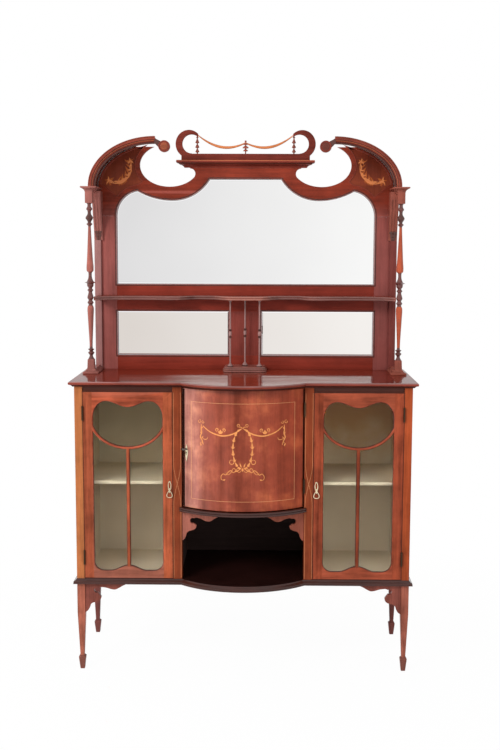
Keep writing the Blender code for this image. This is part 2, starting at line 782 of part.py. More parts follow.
def make_bow_door():
    axis = new_empty("centre_door_axis", (BAY_X - HINGE_GAP / 2, -HINGE_OUT, 0.0), DATUM)

    def edge(inset, x):
        return -90.0 + degrees(asin(x / (BOW_R - inset)))

    runs = []
    for inset, start, stop in ((0.0, BOW_LEFT, BOW_RIGHT), (BOW_DOOR_T, BOW_RIGHT, BOW_LEFT)):
        radius = BOW_R - inset
        runs += arc(0.0, BOW_Y, radius, radius, edge(inset, start), edge(inset, stop), 20)
    height = BOW_DOOR_TOP - BOW_DOOR_LOW
    door = plate("centre_door", [runs], height, (0.0, 0.0, BOW_DOOR_LOW + height / 2), PLAN, MAHOGANY, axis)
    round_off(door)
    for level, z in (("lower", BOW_DOOR_LOW + HINGE_END), ("upper", BOW_DOOR_TOP - HINGE_END)):
        make_hinge(f"centre_door_{level}_hinge", BAY_X - HINGE_GAP / 2, z)
    make_lock(door, axis)


def make_lock(door, axis):
    y, z = bolt_y(), bolt_z()
    half_y, half_z = BOLT_T / 2, BOLT_H / 2
    start = BOW_LEFT + GAP
    stop = start + BOLT_L
    box("centre_lock_bolt", (start, y - half_y, z - half_z), (stop, y + half_y, z + half_z), BRASS, axis)
    pocket = box("bolt_pocket", (BOW_LEFT - BOLT_L, y - half_y - GAP, z - half_z - GAP),
                 (stop + GAP, y + half_y + GAP, z + half_z + GAP), DARK, axis, True)
    combine(door, pocket, "DIFFERENCE")

    x = BOW_LEFT + KEY_IN
    lean = asin(x / BOW_R)
    out = Vector((sin(lean), -cos(lean), 0.0))
    face = Vector((x, bow_face(x), FLOOR_Z + KEY_UP))
    tilt = (pi / 2, 0.0, lean)
    bore = KEY_R + 2 * GAP
    drilled = [(2 * KEY_R, bore), (-KEY_DEEP - GAP, bore)]
    hole = turned_piece("key_hole", drilled, face, DARK, ROUND, tilt, axis, True)
    combine(door, hole, "DIFFERENCE")

    shield = arc(0.0, -ESCUTCHEON_DROP, ESCUTCHEON_W / 2, ESCUTCHEON_H / 2, 0.0, 348.0, 29)
    slot = arc(0.0, 0.0, bore, bore, 0.0, 324.0, 9)
    seat = face + out * (2 * GAP + ESCUTCHEON_T / 2)
    plate("centre_escutcheon", [shield, slot], ESCUTCHEON_T, seat, tilt, BRASS, axis)
    key = turned_piece("centre_key", [(KEY_SHANK, KEY_R), (-KEY_DEEP, KEY_R)], face, BRASS, ROUND, tilt, axis)
    reach = KEY_SHANK + KEY_BOW_L - KEY_R
    outer = arc(0.0, -reach, KEY_BOW_W, KEY_BOW_L, 0.0, 342.0, 19)
    inner = arc(0.0, -reach, KEY_BOW_W - KEY_EYE / 2, KEY_BOW_L - KEY_EYE / 2, 0.0, 342.0, 19)
    bow = plate("key_bow", [outer, inner], KEY_BOW_T, face, (0.0, 0.0, lean), BRASS, axis, True)
    combine(key, bow, "UNION")


# Mirror back

def mirror_head(offset):
    """The shaped head of the mirror from the right spring to the left, moved out by an offset."""
    radius = LOBE_R + offset
    lobe_x = SIGHT_X - LOBE_R
    lobe = arc(lobe_x, SPRING_Z, radius, radius, 0.0, 180.0 - CUSP_TURN, 7)
    cusp_x, cusp_z = lobe[-1]
    valley_x = FRAME_X - VALLEY_IN
    valley_z = SPRING_Z + VALLEY_UP + offset
    run, rise = cusp_x - valley_x, cusp_z - valley_z
    outer_r = (run * run + rise * rise) / (2 * rise)
    swing = degrees(asin(run / outer_r))
    outer = arc(valley_x, valley_z + outer_r, outer_r, outer_r, -90.0 + swing, -90.0, 6)
    inner_r = VALLEY_R - offset
    head_z = SPRING_Z + HEAD_UP + offset
    stop = degrees(acos((valley_z + inner_r - head_z) / inner_r))
    inner = arc(valley_x, valley_z + inner_r, inner_r, inner_r, -90.0, -90.0 - stop, 8)
    right = [*lobe, *outer[1:], *inner[1:]]
    return [*right, *flip(right)]


def make_frame():
    foot = DESK_Z + GAP
    front = FRAME_Y
    for side, word in SIDES:
        stile = side_box(f"{word}_frame_stile", side, (SIGHT_X, FRAME_X), (front, front + FRAME_T),
                         (foot, SPRING_Z - GAP), MAHOGANY)
        strip = side_box(f"{word}_strip", side, (FRAME_X - STRIP_W, FRAME_X),
                         (front - STRIP_T, front + FRAME_T / 2), (foot, CAP_Z - CORBEL_H - GAP),
                         MAHOGANY, None, True)
        combine(stile, strip, "UNION")
    half, post = SIGHT_X - GAP, MUNTIN_W / 2
    right = [(half, foot), (half, LOW_RAIL_TOP), (post, LOW_RAIL_TOP), (post, MID_RAIL_LOW),
             (half, MID_RAIL_LOW), (half, MID_RAIL_TOP)]
    plate("lower_frame", [[*right, *flip(right)]], FRAME_T, (0.0, front + FRAME_T / 2, 0.0), FRONT, MAHOGANY)


def make_mirrors():
    middle = MIRROR_Y + MIRROR_T / 2
    reach, low = SIGHT_X + MIRROR_LAP, MID_RAIL_TOP - MIRROR_LAP
    glass = [(-reach, low), (reach, low), *mirror_head(MIRROR_LAP)]
    plate("large_mirror", [glass], MIRROR_T, (0.0, middle, 0.0), FRONT, SILVER)
    for side, word in SIDES:
        side_box(f"{word}_small_mirror", side, (MUNTIN_W / 2 - MIRROR_LAP, reach),
                 (MIRROR_Y, MIRROR_Y + MIRROR_T), (LOW_RAIL_TOP - MIRROR_LAP, MID_RAIL_LOW + MIRROR_LAP),
                 SILVER)
    lap = MIRROR_LAP + BACKBOARD_LAP
    reach, low = SIGHT_X + lap, LOW_RAIL_TOP - lap
    board = [(-reach, low), (reach, low), *mirror_head(lap)]
    plate("mirror_backboard", [board], BACKBOARD_T, (0.0, BACKBOARD_Y + BACKBOARD_T / 2, 0.0), FRONT, DARK)


def scroll_outline():
    """The open scroll on the right, from the beak under the hood down and round to the cornice."""
    hook_z = SCROLL_Z + SCROLL_H * sin(radians(SCROLL_TURN)) + HOOK_R * sin(pi / 4)
    bowl = arc(-SCROLL_X, SCROLL_Z, SCROLL_W, SCROLL_H, BEAK_TURN, SCROLL_TURN, 22)
    hook = arc(-HOOK_X, hook_z, HOOK_R, HOOK_R, -45.0, 90.0, 6)
    return flip([*bowl, *hook[1:], (-HOOK_X, CREST_TOP)])


def make_crest():
    under = HOOD_LIP + CANOPY_T + GAP
    outer = arc(HOOD_X, HOOD_Z, HOOD_RUN - under, HOOD_RISE - under, 0.0, 180.0 - CANOPY_TURN, 14)
    shoulder = HOOD_Z - GAP
    right = [*scroll_outline(), *reversed(outer), (outer[0][0], shoulder), (FRAME_X, shoulder),
             (FRAME_X, SPRING_Z)]
    centre = (0.0, FRAME_Y + FRAME_T / 2, 0.0)
    plate("crest_board", [[*right, *mirror_head(0.0), *flip(right)]], FRAME_T, centre, FRONT, MAHOGANY)


def make_hood(side, word):
    """Swan-neck moulding with its roundel, and the curved canopy behind it."""
    def ellipse(inset, start, stop, steps):
        return arc(-HOOD_X, HOOD_Z, HOOD_RUN - inset, HOOD_RISE - inset, start, stop, steps)

    top = HOOD_Z + HOOD_RISE
    boss_x, boss_z = -HOOD_X + ROUNDEL_RUN, top - ROUNDEL_DROP
    boss = arc(boss_x, boss_z, ROUNDEL_R, ROUNDEL_R, 125.0, -170.0, 16)
    neck = (-HOOD_X + HOOD_LIP, top - HOOD_BAND / 3)
    band = [*ellipse(0.0, 180.0, 90.0, 16), neck, *boss, *ellipse(HOOD_BAND, 90.0, 180.0, 16)]
    y0 = COLUMN_Y - BLOCK_W / 2 - CAP_SPREAD
    y1, y2 = y0 + HOOD_DEEP / 2, FRAME_Y + FRAME_T
    hood = plate(f"{word}_hood", [sided(band, side)], HOOD_DEEP, (0.0, y1, 0.0), FRONT, MAHOGANY)
    skin = [*ellipse(HOOD_LIP, 180.0, CANOPY_TURN, 14),
            *ellipse(HOOD_LIP + CANOPY_T, CANOPY_TURN, 180.0, 14)]
    centre = (0.0, (y1 + y2) / 2, 0.0)
    canopy = plate(f"{word}_canopy", [sided(skin, side)], y2 - y1, centre, FRONT, DARK, None, True)
    combine(hood, canopy, "UNION")


def column_profile():
    """Heights and radii of a column between its two square blocks, from the top down."""
    cap, level, foot = CAP_Z - BLOCK_H, SHELF_Z + SHELF_T / 2, PLINTH_TOP + GAP + FOOT_BLOCK_H
    below_cap = [(-0.002, 0.0100), (0.0, 0.0100), (0.004, 0.0060), (0.016, 0.0060), (0.0215, 0.0098),
                 (0.028, 0.0056), (0.040, 0.0056), (0.053, 0.0118), (0.066, 0.0056), (0.071, 0.0056),
                 (0.0757, 0.0092), (0.082, 0.0050), (0.096, 0.0050)]
    about_shelf = [(0.150, 0.0098), (0.116, 0.0114), (0.101, 0.0106), (0.095, 0.0060), (0.078, 0.0060),
                   (0.068, 0.0088), (0.0625, 0.0115), (0.059, 0.0185), (0.0555, 0.0115), (0.046, 0.0100),
                   (0.038, 0.0058), (0.031, 0.0095), (0.0235, 0.0062), (0.004, 0.0115), (-0.006, 0.0070),
                   (-0.0145, 0.0105), (-0.0225, 0.0070), (-0.0365, 0.0115), (-0.0800, 0.0098)]
    above_foot = [(0.046, 0.0052), (0.037, 0.0100), (0.0295, 0.0056), (0.0235, 0.0105), (0.013, 0.0052),
                  (0.0, 0.0110), (-0.002, 0.0110)]
    return [*((cap - drop, r) for drop, r in below_cap), *((level + rise, r) for rise, r in about_shelf),
            *((foot + rise, r) for rise, r in above_foot)]


def side_slab(side, half, front, back):
    """Plan of a slab that runs from a column back to the frame."""
    x0, x1 = side * COLUMN_X - half, side * COLUMN_X + half
    return rectangle(x0, x1, front, back)


def make_column(side, word):
    x = side * COLUMN_X
    column = turned_piece(f"{word}_column", column_profile(), (x, COLUMN_Y, 0.0), MAHOGANY)
    half = BLOCK_W / 2
    back = FRAME_Y - GAP
    for part, low, high in (("cap", CAP_Z - BLOCK_H, CAP_Z + CAP_H / 2),
                            ("foot", PLINTH_TOP + GAP, PLINTH_TOP + GAP + FOOT_BLOCK_H)):
        block = box(f"{word}_{part}_block", (x - half, COLUMN_Y - half, low),
                    (x + half, COLUMN_Y + half, high), MAHOGANY, None, True)
        combine(column, block, "UNION")
    steps = [(CAP_Z, 0.001), (CAP_Z + 0.35 * CAP_H, 0.20 * CAP_SPREAD),
             (CAP_Z + 0.70 * CAP_H, 0.75 * CAP_SPREAD), (CAP_Z + 0.80 * CAP_H, CAP_SPREAD),
             (CAP_Z + CAP_H, CAP_SPREAD)]
    sections = [[(px, py, z) for px, py in side_slab(side, half + d, COLUMN_Y - half - d, back)]
                for z, d in steps]
    name = f"{word}_capital"
    capital = place(name, loft_mesh(name, sections), (0.0, 0.0, 0.0), PLAN, MAHOGANY, None, True)
    combine(column, capital, "UNION")
    low, high = CAP_Z - CORBEL_H, CAP_Z + CAP_H / 2
    out = back - CORBEL_OUT
    nib = back - CORBEL_TOE
    front = smooth([(out, CAP_Z - 0.10 * CORBEL_H), (out + 0.35 * CORBEL_OUT, CAP_Z - 0.45 * CORBEL_H),
                    (nib - 0.004, low + 0.18 * CORBEL_H), (nib, low)], 3)
    corbel = plate(f"{word}_corbel", [[(back, high), (out, high), *front, (back, low)]], CORBEL_W,
                   (side * (FRAME_X - CORBEL_W / 2), 0.0, 0.0), SIDE, MAHOGANY, None, True)
    combine(column, corbel, "UNION")


def make_plinth(side, word):
    half = BLOCK_W / 2
    back = FRAME_Y - STRIP_T - GAP
    low = DESK_Z + GAP
    steps = [(low, PLINTH_SPREAD), (low + 0.40 * PLINTH_H, PLINTH_SPREAD),
             (low + 0.55 * PLINTH_H, 0.55 * PLINTH_SPREAD), (low + PLINTH_H, 0.15 * PLINTH_SPREAD)]
    sections = [[(px, py, z) for px, py in side_slab(side, half + d, COLUMN_Y - half - d, back)]
                for z, d in steps]
    name = f"{word}_plinth"
    place(name, loft_mesh(name, sections), (0.0, 0.0, 0.0), PLAN, MAHOGANY)


def make_shelf():
    """Display shelf with a serpentine front that swells in the middle over the spindles."""
    ring = max(r for z, r in column_profile() if SHELF_Z <= z <= SHELF_Z + SHELF_T)
    end = COLUMN_X - ring - GAP
    strip_x = FRAME_X - STRIP_W - GAP
    back, strip_y = FRAME_Y - GAP, FRAME_Y - STRIP_T - GAP
    wing, recess, nose = (FRAME_Y - out for out in (SHELF_WING_OUT, SHELF_RECESS_OUT, SHELF_NOSE_OUT))
    span = end - SPINDLE_X
    knots = [(-end, COLUMN_Y), (-end + 0.13 * span, wing), (-end + 0.34 * span, wing + 0.008),
             (-end + 0.58 * span, wing - 0.006), (-end + 0.66 * span, wing + 0.010),
             (-end + 0.73 * span, recess), (-end + 0.86 * span, recess - 0.004),
             (-end + 0.94 * span, nose + 0.024), (-SPINDLE_X, nose + 0.004), (0.0, nose)]
    left = [(-strip_x, back), (-strip_x, strip_y), (-end, strip_y), *smooth(knots, 3)]
    outline = [*left, *flip(left)[1:]]
    plate("display_shelf", [outline], SHELF_T, (0.0, 0.0, SHELF_Z + SHELF_T / 2), PLAN, MAHOGANY)


def make_spindles():
    foot = DESK_Z + 2 * GAP + LOW_PLINTH_H
    top = SHELF_Z - GAP
    middle = (foot + top) / 2
    ring = 1.35 * SPINDLE_R
    profile = [(top, SPINDLE_R), (middle + 0.016, SPINDLE_R), (middle + 0.013, ring), (middle + 0.009, ring),
               (middle + 0.007, SPINDLE_R), (middle - 0.007, SPINDLE_R), (middle - 0.009, ring),
               (middle - 0.013, ring), (middle - 0.016, SPINDLE_R), (foot + 0.012, SPINDLE_R),
               (foot + 0.008, ring), (foot, ring)]
    for name, x, y in (("left_spindle", -SPINDLE_X, SPINDLE_Y),
                       ("middle_spindle", 0.0, FRAME_Y - MID_SPINDLE_OUT),
                       ("right_spindle", SPINDLE_X, SPINDLE_Y)):
        turned_piece(name, profile, (x, y, 0.0), MAHOGANY, 8)

    def outline(offset):
        radius = LOW_PLINTH_R + offset
        lobe = arc(-SPINDLE_X, SPINDLE_Y, radius, radius, 180.0, 290.0, 8)
        left = [(-SPINDLE_X - radius, FRAME_Y - GAP), *lobe]
        return [*left, *flip(left)]

    low = DESK_Z + GAP
    rings = [(low, 0.0), (low + 0.4 * LOW_PLINTH_H, 0.0), (low + 0.5 * LOW_PLINTH_H, -0.12 * LOW_PLINTH_R),
             (low + 0.8 * LOW_PLINTH_H, -0.20 * LOW_PLINTH_R), (low + LOW_PLINTH_H, -0.35 * LOW_PLINTH_R)]
    stacked("spindle_plinth", outline, rings, MAHOGANY)


# Cornice and gallery

def make_cornice():
    half = HOOK_X + CORNICE_OVER
    back = FRAME_Y + FRAME_T

    def outline(offset):
        return rectangle(-half - offset, half + offset, FRAME_Y - CORNICE_OUT - offset, back)

    low = CORNICE_Z
    deep = CORNICE_OUT
    rings = [(low, -0.95 * deep), (low + 0.25 * CORNICE_H, -0.80 * deep),
             (low + 0.45 * CORNICE_H, -0.35 * deep), (low + 0.60 * CORNICE_H, -0.25 * deep),
             (low + 0.68 * CORNICE_H, 0.0), (low + CORNICE_H, 0.0)]
    stacked("cornice", outline, rings, MAHOGANY)


def swag_run(start, peak, thick):
    """One edge of a swag from a scroll's tip to the finial, the lower edge if it is thick."""
    steps = 12
    run = []
    for i in range(steps + 1):
        t = i / steps
        depth = SWAG_THIN + (SWAG_THICK - SWAG_THIN) * sin(pi * t) if thick else 0.0
        z = start[1] + (peak[1] - start[1]) * t - 4 * SWAG_SAG * t * (1 - t) - depth
        run.append((start[0] + (peak[0] - start[0]) * t, z))
    return run


def make_gallery():
    """Fretted gallery: a low rail, scrolled ends and two swags, with turned balusters and a finial."""
    half = HOOK_X + CORNICE_OVER + GALLERY_OVER
    rail = GALLERY_Z + GALLERY_RAIL_H
    top = GALLERY_Z + GALLERY_H
    end_x, end_z = -half + SCROLL_END_W, top - SCROLL_END_H
    eye_x, eye_z = end_x + SCROLL_EYE_IN, end_z
    outer = arc(end_x, end_z, SCROLL_END_W, SCROLL_END_H, 235.0, SCROLL_END_TURN, 18)
    dip = degrees(asin((eye_z - rail) / SCROLL_EYE_R)) if eye_z - rail < SCROLL_EYE_R else 90.0
    eye = arc(eye_x, eye_z, SCROLL_EYE_R, SCROLL_EYE_R, 180.0 + dip, SCROLL_END_TURN, 16)
    tip_x, tip_z = outer[-1]
    start = (tip_x + GAP, tip_z - 0.3 * (tip_z - eye[-1][1]))
    peak = (0.0, top - SWAG_DROP)
    left_top = [(outer[0][0], GALLERY_Z), *outer, *swag_run(start, peak, False)]
    left_low = [(eye[0][0], rail), *eye, *swag_run(start, peak, True)]
    loops = [[*left_top, *flip(left_top)[1:]], [*left_low, *flip(left_low)[1:]]]
    y = FRAME_Y - GALLERY_OUT + GALLERY_T / 2
    gallery = plate("gallery", loops, GALLERY_T, (0.0, y, 0.0), FRONT, MAHOGANY)
    bead, waist = BALUSTER_R, 0.3 * BALUSTER_R
    high = (tip_z + eye[-1][1]) / 2
    height = high - rail
    baluster = [(high, waist), (rail + 0.85 * height, waist), (rail + 0.60 * height, bead),
                (rail + 0.56 * height, waist), (rail + 0.34 * height, bead), (rail + 0.30 * height, waist),
                (rail + 0.09 * height, bead), (rail + 0.05 * height, waist), (rail - bead, waist)]
    for side, word in SIDES:
        x = -side * (tip_x - BALUSTER_BACK)
        turned = turned_piece(f"{word}_baluster", baluster, (x, y, 0.0), MAHOGANY, 8, PLAN, None, True)
        combine(gallery, turned, "UNION")
    rise = peak[1] - rail
    wide = FINIAL_R
    tip = peak[1]
    finial = [(tip + 0.15 * rise, waist), (tip - 0.22 * rise, 0.8 * wide), (tip - 0.26 * rise, waist),
              (tip - 0.52 * rise, wide), (tip - 0.56 * rise, waist), (tip - 0.78 * rise, 0.8 * wide),
              (tip - 0.82 * rise, waist), (rail - bead, waist)]
    combine(gallery, turned_piece("finial", finial, (0.0, y, 0.0), MAHOGANY, 8, PLAN, None, True), "UNION")


def main():
    make_top_board()
    make_base_board()
    make_legs()
    make_case_boards()
    make_mid_shelf()
    make_brackets()
    for side, word in SIDES:
        make_side_door(side, word)
    make_bow_door()
    make_frame()
    make_mirrors()
    make_crest()
    for side, word in SIDES:
        make_hood(side, word)
        make_column(side, word)
        make_plinth(side, word)
    make_shelf()
    make_spindles()
    make_cornice()
    make_gallery()


main()
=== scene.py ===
"""Looks of a mirror-backed display cabinet in inlaid mahogany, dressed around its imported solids.

Metres, +Z up, front towards -Y. Depths are measured back from the front plane of the case, as in the part's
own source, and every finished mesh is moved from there into the shared frame. Points given to mm() and the
edges of boards are in millimetres.
"""

import json
from math import acos, asin, atan2, cos, degrees, exp, hypot, pi, radians, sin, sqrt

import bmesh
import bpy
from mathutils import Matrix, Vector


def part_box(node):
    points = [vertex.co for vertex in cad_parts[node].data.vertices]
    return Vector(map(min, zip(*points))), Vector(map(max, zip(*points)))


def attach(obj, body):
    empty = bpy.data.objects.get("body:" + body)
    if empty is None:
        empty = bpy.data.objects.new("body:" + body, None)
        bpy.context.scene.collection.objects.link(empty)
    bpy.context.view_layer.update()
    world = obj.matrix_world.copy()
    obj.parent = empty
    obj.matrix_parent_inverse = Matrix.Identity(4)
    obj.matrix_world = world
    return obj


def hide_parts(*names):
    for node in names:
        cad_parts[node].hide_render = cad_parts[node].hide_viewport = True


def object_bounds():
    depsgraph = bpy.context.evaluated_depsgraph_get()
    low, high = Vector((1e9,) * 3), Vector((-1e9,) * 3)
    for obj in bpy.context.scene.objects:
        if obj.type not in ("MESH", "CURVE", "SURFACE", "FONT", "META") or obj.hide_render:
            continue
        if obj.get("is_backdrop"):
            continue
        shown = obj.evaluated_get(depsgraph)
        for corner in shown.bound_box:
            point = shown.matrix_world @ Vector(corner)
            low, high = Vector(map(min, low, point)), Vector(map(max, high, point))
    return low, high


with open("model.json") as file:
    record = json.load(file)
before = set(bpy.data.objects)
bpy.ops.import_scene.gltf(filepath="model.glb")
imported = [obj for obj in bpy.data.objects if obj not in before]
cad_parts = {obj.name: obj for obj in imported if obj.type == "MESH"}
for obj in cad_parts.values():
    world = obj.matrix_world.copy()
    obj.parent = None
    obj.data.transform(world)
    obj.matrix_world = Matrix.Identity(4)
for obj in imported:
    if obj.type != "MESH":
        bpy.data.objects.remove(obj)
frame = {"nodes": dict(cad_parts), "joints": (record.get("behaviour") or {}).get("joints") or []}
CAD_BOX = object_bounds()
FACE_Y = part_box("left_front_leg")[0].y
SIDES = ((-1, "left"), (1, "right"))
DARK = "dark_mahogany"
GAP = 0.0003
SHEET = 0.0012
CRISP = 0.0002
MERGE = 0.000004

# Lower case
CASE_X = 0.592
CASE_D = 0.4
POST = 0.028
POST_X = CASE_X - POST / 2
INNER_X = CASE_X - POST
END_T = 0.016
LEG_H = 0.3195
FLOOR_Z = 0.338
CEIL_Z = 1.0295
DESK_Z = 1.0475
BAY_X = 0.216
PILASTER_W = 0.032
PILASTER_D = 0.046
PILASTER_REBATE = 0.0325
RAIL_NOTCH = 0.0173
PARTITION_X = 0.241
BACK_Y = 0.376
BOW_HALF = 0.219
MID_SHELF_Z = 0.585
MID_SHELF_FRONT = -0.006
MID_SHELF_RISE = 0.0865
MID_SHELF_EAR = BAY_X + 0.009
TOP_PLAN = (0.61, -0.02, 0.4045, 0.1)
BASE_PLAN = (0.604, -0.012, CASE_D, 0.086)

# Side doors
DOOR_T = 0.02
DOOR_SOFT = 0.0036
DOOR_NEAR = 0.2495
DOOR_FAR = 0.5622
DOOR_X = (DOOR_NEAR + DOOR_FAR) / 2
DOOR_LOW = 0.341
DOOR_TOP = 1.0095
SIGHT_HALF = 0.12285
BAR_W = 0.008
MULLION_W = 0.011
BAR_DEPTH = 0.012
PULL_X = DOOR_NEAR + 0.0095
PULL_Z = FLOOR_Z + 0.329
PULL_Y = -0.0063

# Bowed door
BOW_R = 0.314256
BOW_Y = 0.232256
BOW_LEFT = -0.212
BOW_RIGHT = 0.2142
BOW_LOW = 0.604
BOW_TOP = 1.0265
BOW_T = 0.02
STRING_W = 0.0011
STRING_X = 0.18
STRING_LOW = 0.639
STRING_TOP = 0.982
MOTIF_Z = 0.85
INLAY_SINK = 0.0004

# Mirror back
FRAME_X = 0.569
FRAME_T = 0.014
FRAME_Y = 0.3754
STRIP_W = 0.025
STRIP_D = 0.012
SIGHT_X = 0.487
MIRROR_Y = 0.3897
MIRROR_T = 0.004
MIRROR_LAP = 0.008
LOW_RAIL_TOP = 1.1007
MID_RAIL_LOW = 1.2687
MID_RAIL_TOP = 1.3707
SPRING_Z = 1.6267
MUNTIN_W = 0.124
LOBE_R = 0.0965
VALLEY_X = FRAME_X - 0.2934
VALLEY_UP = 0.0598
HEAD_R = 0.165
HEAD_UP = 0.1385
CREST_TOP = 1.8062
CAP_Z = 1.7092
CAP_H = 0.021
CAP_LIP = 0.015
CORBEL_H = 0.172
CORBEL_D = 0.058
CORBEL_W = 0.032
HOOD_Z = 1.7305
HOOD_X = 0.323
HOOD_RUN = 0.244
HOOD_RISE = 0.178
HOOD_END = 68
CANOPY_TOP = 0.002
CANOPY_UNDER = 0.013
SCROLL_X = 0.285
SCROLL_Z = 1.8152
SCROLL_W = 0.111
SCROLL_H = 0.079
HOOK_R = 0.02
HOOK_TURN = 325
HOOK_X = SCROLL_X - SCROLL_W * cos(radians(HOOK_TURN)) + HOOK_R * cos(pi / 4)
HOOK_Z = SCROLL_Z + SCROLL_H * sin(radians(HOOK_TURN)) + HOOK_R * sin(pi / 4)
SHELF_Z = 1.3157
SHELF_T = 0.015
PLINTH_TOP = 1.0648
COLUMN_X = 0.567
COLUMN_Y = 0.24
COLUMN_CAP = CAP_Z - 0.039
COLUMN_LEVEL = SHELF_Z + SHELF_T / 2
FOOT_H = 0.035
COLUMN_FOOT = PLINTH_TOP + GAP + FOOT_H
BLOCK_W = 0.027
SPINDLE_X = 0.0545
SPINDLE_Y = 0.3


# Outlines

def mm(*rows):
    """Rows of millimetres, in metres."""
    return [tuple(value / 1000 for value in row) for row in rows]


def span(start, stop, steps):
    return [start + (stop - start) * i / steps for i in range(steps + 1)]


def arc(cx, cy, rx, ry, start, stop, steps):
    turns = [radians(turn) for turn in span(start, stop, steps)]
    return [(cx + rx * cos(t), cy + ry * sin(t)) for t in turns]


def circle(cx, cy, radius, start, stop, steps):
    return arc(cx, cy, radius, radius, start, stop, steps)


def smooth(knots, steps):
    """Points of a smooth curve through the knots, of any number of dimensions."""
    ends = [knots[0], *knots, knots[-1]]
    points = []
    for near in zip(ends, ends[1:], ends[2:], ends[3:]):
        for i in range(steps):
            t = i / steps
            w = (-t + 2 * t * t - t ** 3, 2 - 5 * t * t + 3 * t ** 3,
                 t + 4 * t * t - 3 * t ** 3, t ** 3 - t * t)
            points.append(tuple(sum(k * v for k, v in zip(w, values)) / 2 for values in zip(*near)))
    return [*points, tuple(knots[-1])]


def flip(points):
    return [(-x, y) for x, y in reversed(points)]


def sided(points, side):
    """Points drawn for the right, put on the side asked for."""
    return [(side * x, y) for x, y in points]


def rectangle(x0, x1, y0, y1):
    return [(x0, y0), (x1, y0), (x1, y1), (x0, y1)]


def soft_rectangle(x0, x1, y0, y1, z, soft, steps):
    """A level ring with rounded corners."""
    corners = ((x1 - soft, y1 - soft, 0), (x0 + soft, y1 - soft, 90), (x0 + soft, y0 + soft, 180),
               (x1 - soft, y0 + soft, 270))
    return [(x, y, z) for cx, cy, turn in corners for x, y in circle(cx, cy, soft, turn, turn + 90, steps)]


def soft_square(x, y, z, half, soft):
    return soft_rectangle(x - half, x + half, y - half, y + half, z, soft, 3)


def normals(path, closed):
    """Mitred left-hand normals of a run of points."""
    count = len(path)
    result = []
    for i in range(count):
        a = path[i - 1] if i or closed else path[i]
        b = path[(i + 1) % count] if i < count - 1 or closed else path[i]
        units = []
        for p, q in ((a, path[i]), (path[i], b)):
            length = hypot(q[0] - p[0], q[1] - p[1])
            if length > 1e-9:
                units.append(((q[0] - p[0]) / length, (q[1] - p[1]) / length))
        tx, ty = sum(u[0] for u in units), sum(u[1] for u in units)
        size = hypot(tx, ty) or 1
        tx, ty = tx / size, ty / size
        stretch = 1 / max(0.4, units[0][0] * tx + units[0][1] * ty)
        result.append((-ty * stretch, tx * stretch))
    return result


def offset(path, distance):
    """An open run of points moved to its left."""
    return [(x + nx * distance, y + ny * distance) for (x, y), (nx, ny) in zip(path, normals(path, False))]


# Meshes

def shift(x, y, z):
    return Matrix.Translation((x, y, z))


TURN_X, TURN_Y, TURN_Z = [Matrix.Rotation(pi / 2, 4, axis) for axis in "XYZ"]


def moved(mesh, matrix):
    mesh.transform(matrix)
    return mesh


def front(mesh, y):
    """Stand a flat shape up to face the front, its middle at a depth."""
    return moved(mesh, shift(0, y, 0) @ TURN_X)


def sideways(mesh, x):
    """Stand a flat shape up to face the side: its X runs back and its Y runs up."""
    return moved(mesh, shift(x, 0, 0) @ TURN_Z @ TURN_X)


def new_object(name, data):
    obj = bpy.data.objects.new(name, data)
    bpy.context.scene.collection.objects.link(obj)
    return obj


def finished(*objects):
    """The mesh that the first object's settings make, once the objects are gone."""
    graph = bpy.context.evaluated_depsgraph_get()
    mesh = bpy.data.meshes.new_from_object(objects[0].evaluated_get(graph))
    for obj in objects:
        bpy.data.objects.remove(obj, do_unlink=True)
    return mesh


def mesh_of(verts, faces, marks=()):
    mesh = bpy.data.meshes.new("shape")
    mesh.from_pydata(verts, [], faces)
    for face, mark in zip(mesh.polygons, marks):
        face.material_index = mark
    return tidy(mesh)


def tidy(mesh):
    shape = bmesh.new()
    shape.from_mesh(mesh)
    bmesh.ops.remove_doubles(shape, verts=shape.verts, dist=MERGE)
    bmesh.ops.dissolve_degenerate(shape, edges=shape.edges, dist=MERGE)
    bmesh.ops.recalc_face_normals(shape, faces=shape.faces)
    if shape.calc_volume(signed=True) < 0:
        bmesh.ops.reverse_faces(shape, faces=shape.faces)
    shape.to_mesh(mesh)
    shape.free()
    return mesh


def loft(rings, paint=None, closed=False):
    """Rings of equal count joined in turn, in a loop or with capped ends.

    paint picks a face's material from its ring and its place in the ring, which is -1 for a cap.
    """
    if closed:
        rings = [*rings, rings[0]]
    count = len(rings[0])
    verts = [point for ring in rings for point in ring]
    tone = paint or (lambda k, i: 0)
    faces, marks = [], []
    for k in range(len(rings) - 1):
        for i in range(count):
            j = (i + 1) % count
            faces.append((k * count + i, k * count + j, (k + 1) * count + j, (k + 1) * count + i))
            marks.append(tone(k, i))
    if not closed:
        faces.append(tuple(reversed(range(count))))
        faces.append(tuple(range(len(verts) - count, len(verts))))
        marks += [tone(0, -1), tone(len(rings) - 2, -1)]
    return mesh_of(verts, faces, marks)


def plate(loops, thick, soft=0.0012, steps=2):
    """A flat outline with holes and softened edges, its thickness about zero."""
    curve = bpy.data.curves.new("plate", "CURVE")
    curve.dimensions = "2D"
    curve.fill_mode = "BOTH"
    curve.extrude = thick / 2 - soft
    curve.bevel_depth = soft
    curve.bevel_resolution = steps
    curve.offset = -soft
    for loop in loops:
        spline = curve.splines.new("POLY")
        spline.points.add(len(loop) - 1)
        for point, (x, y) in zip(spline.points, loop):
            point.co = (x, y, 0, 1)
        spline.use_cyclic_u = True
    mesh = finished(new_object("plate", curve))
    bpy.data.curves.remove(curve)
    mesh.materials.clear()
    return tidy(mesh)


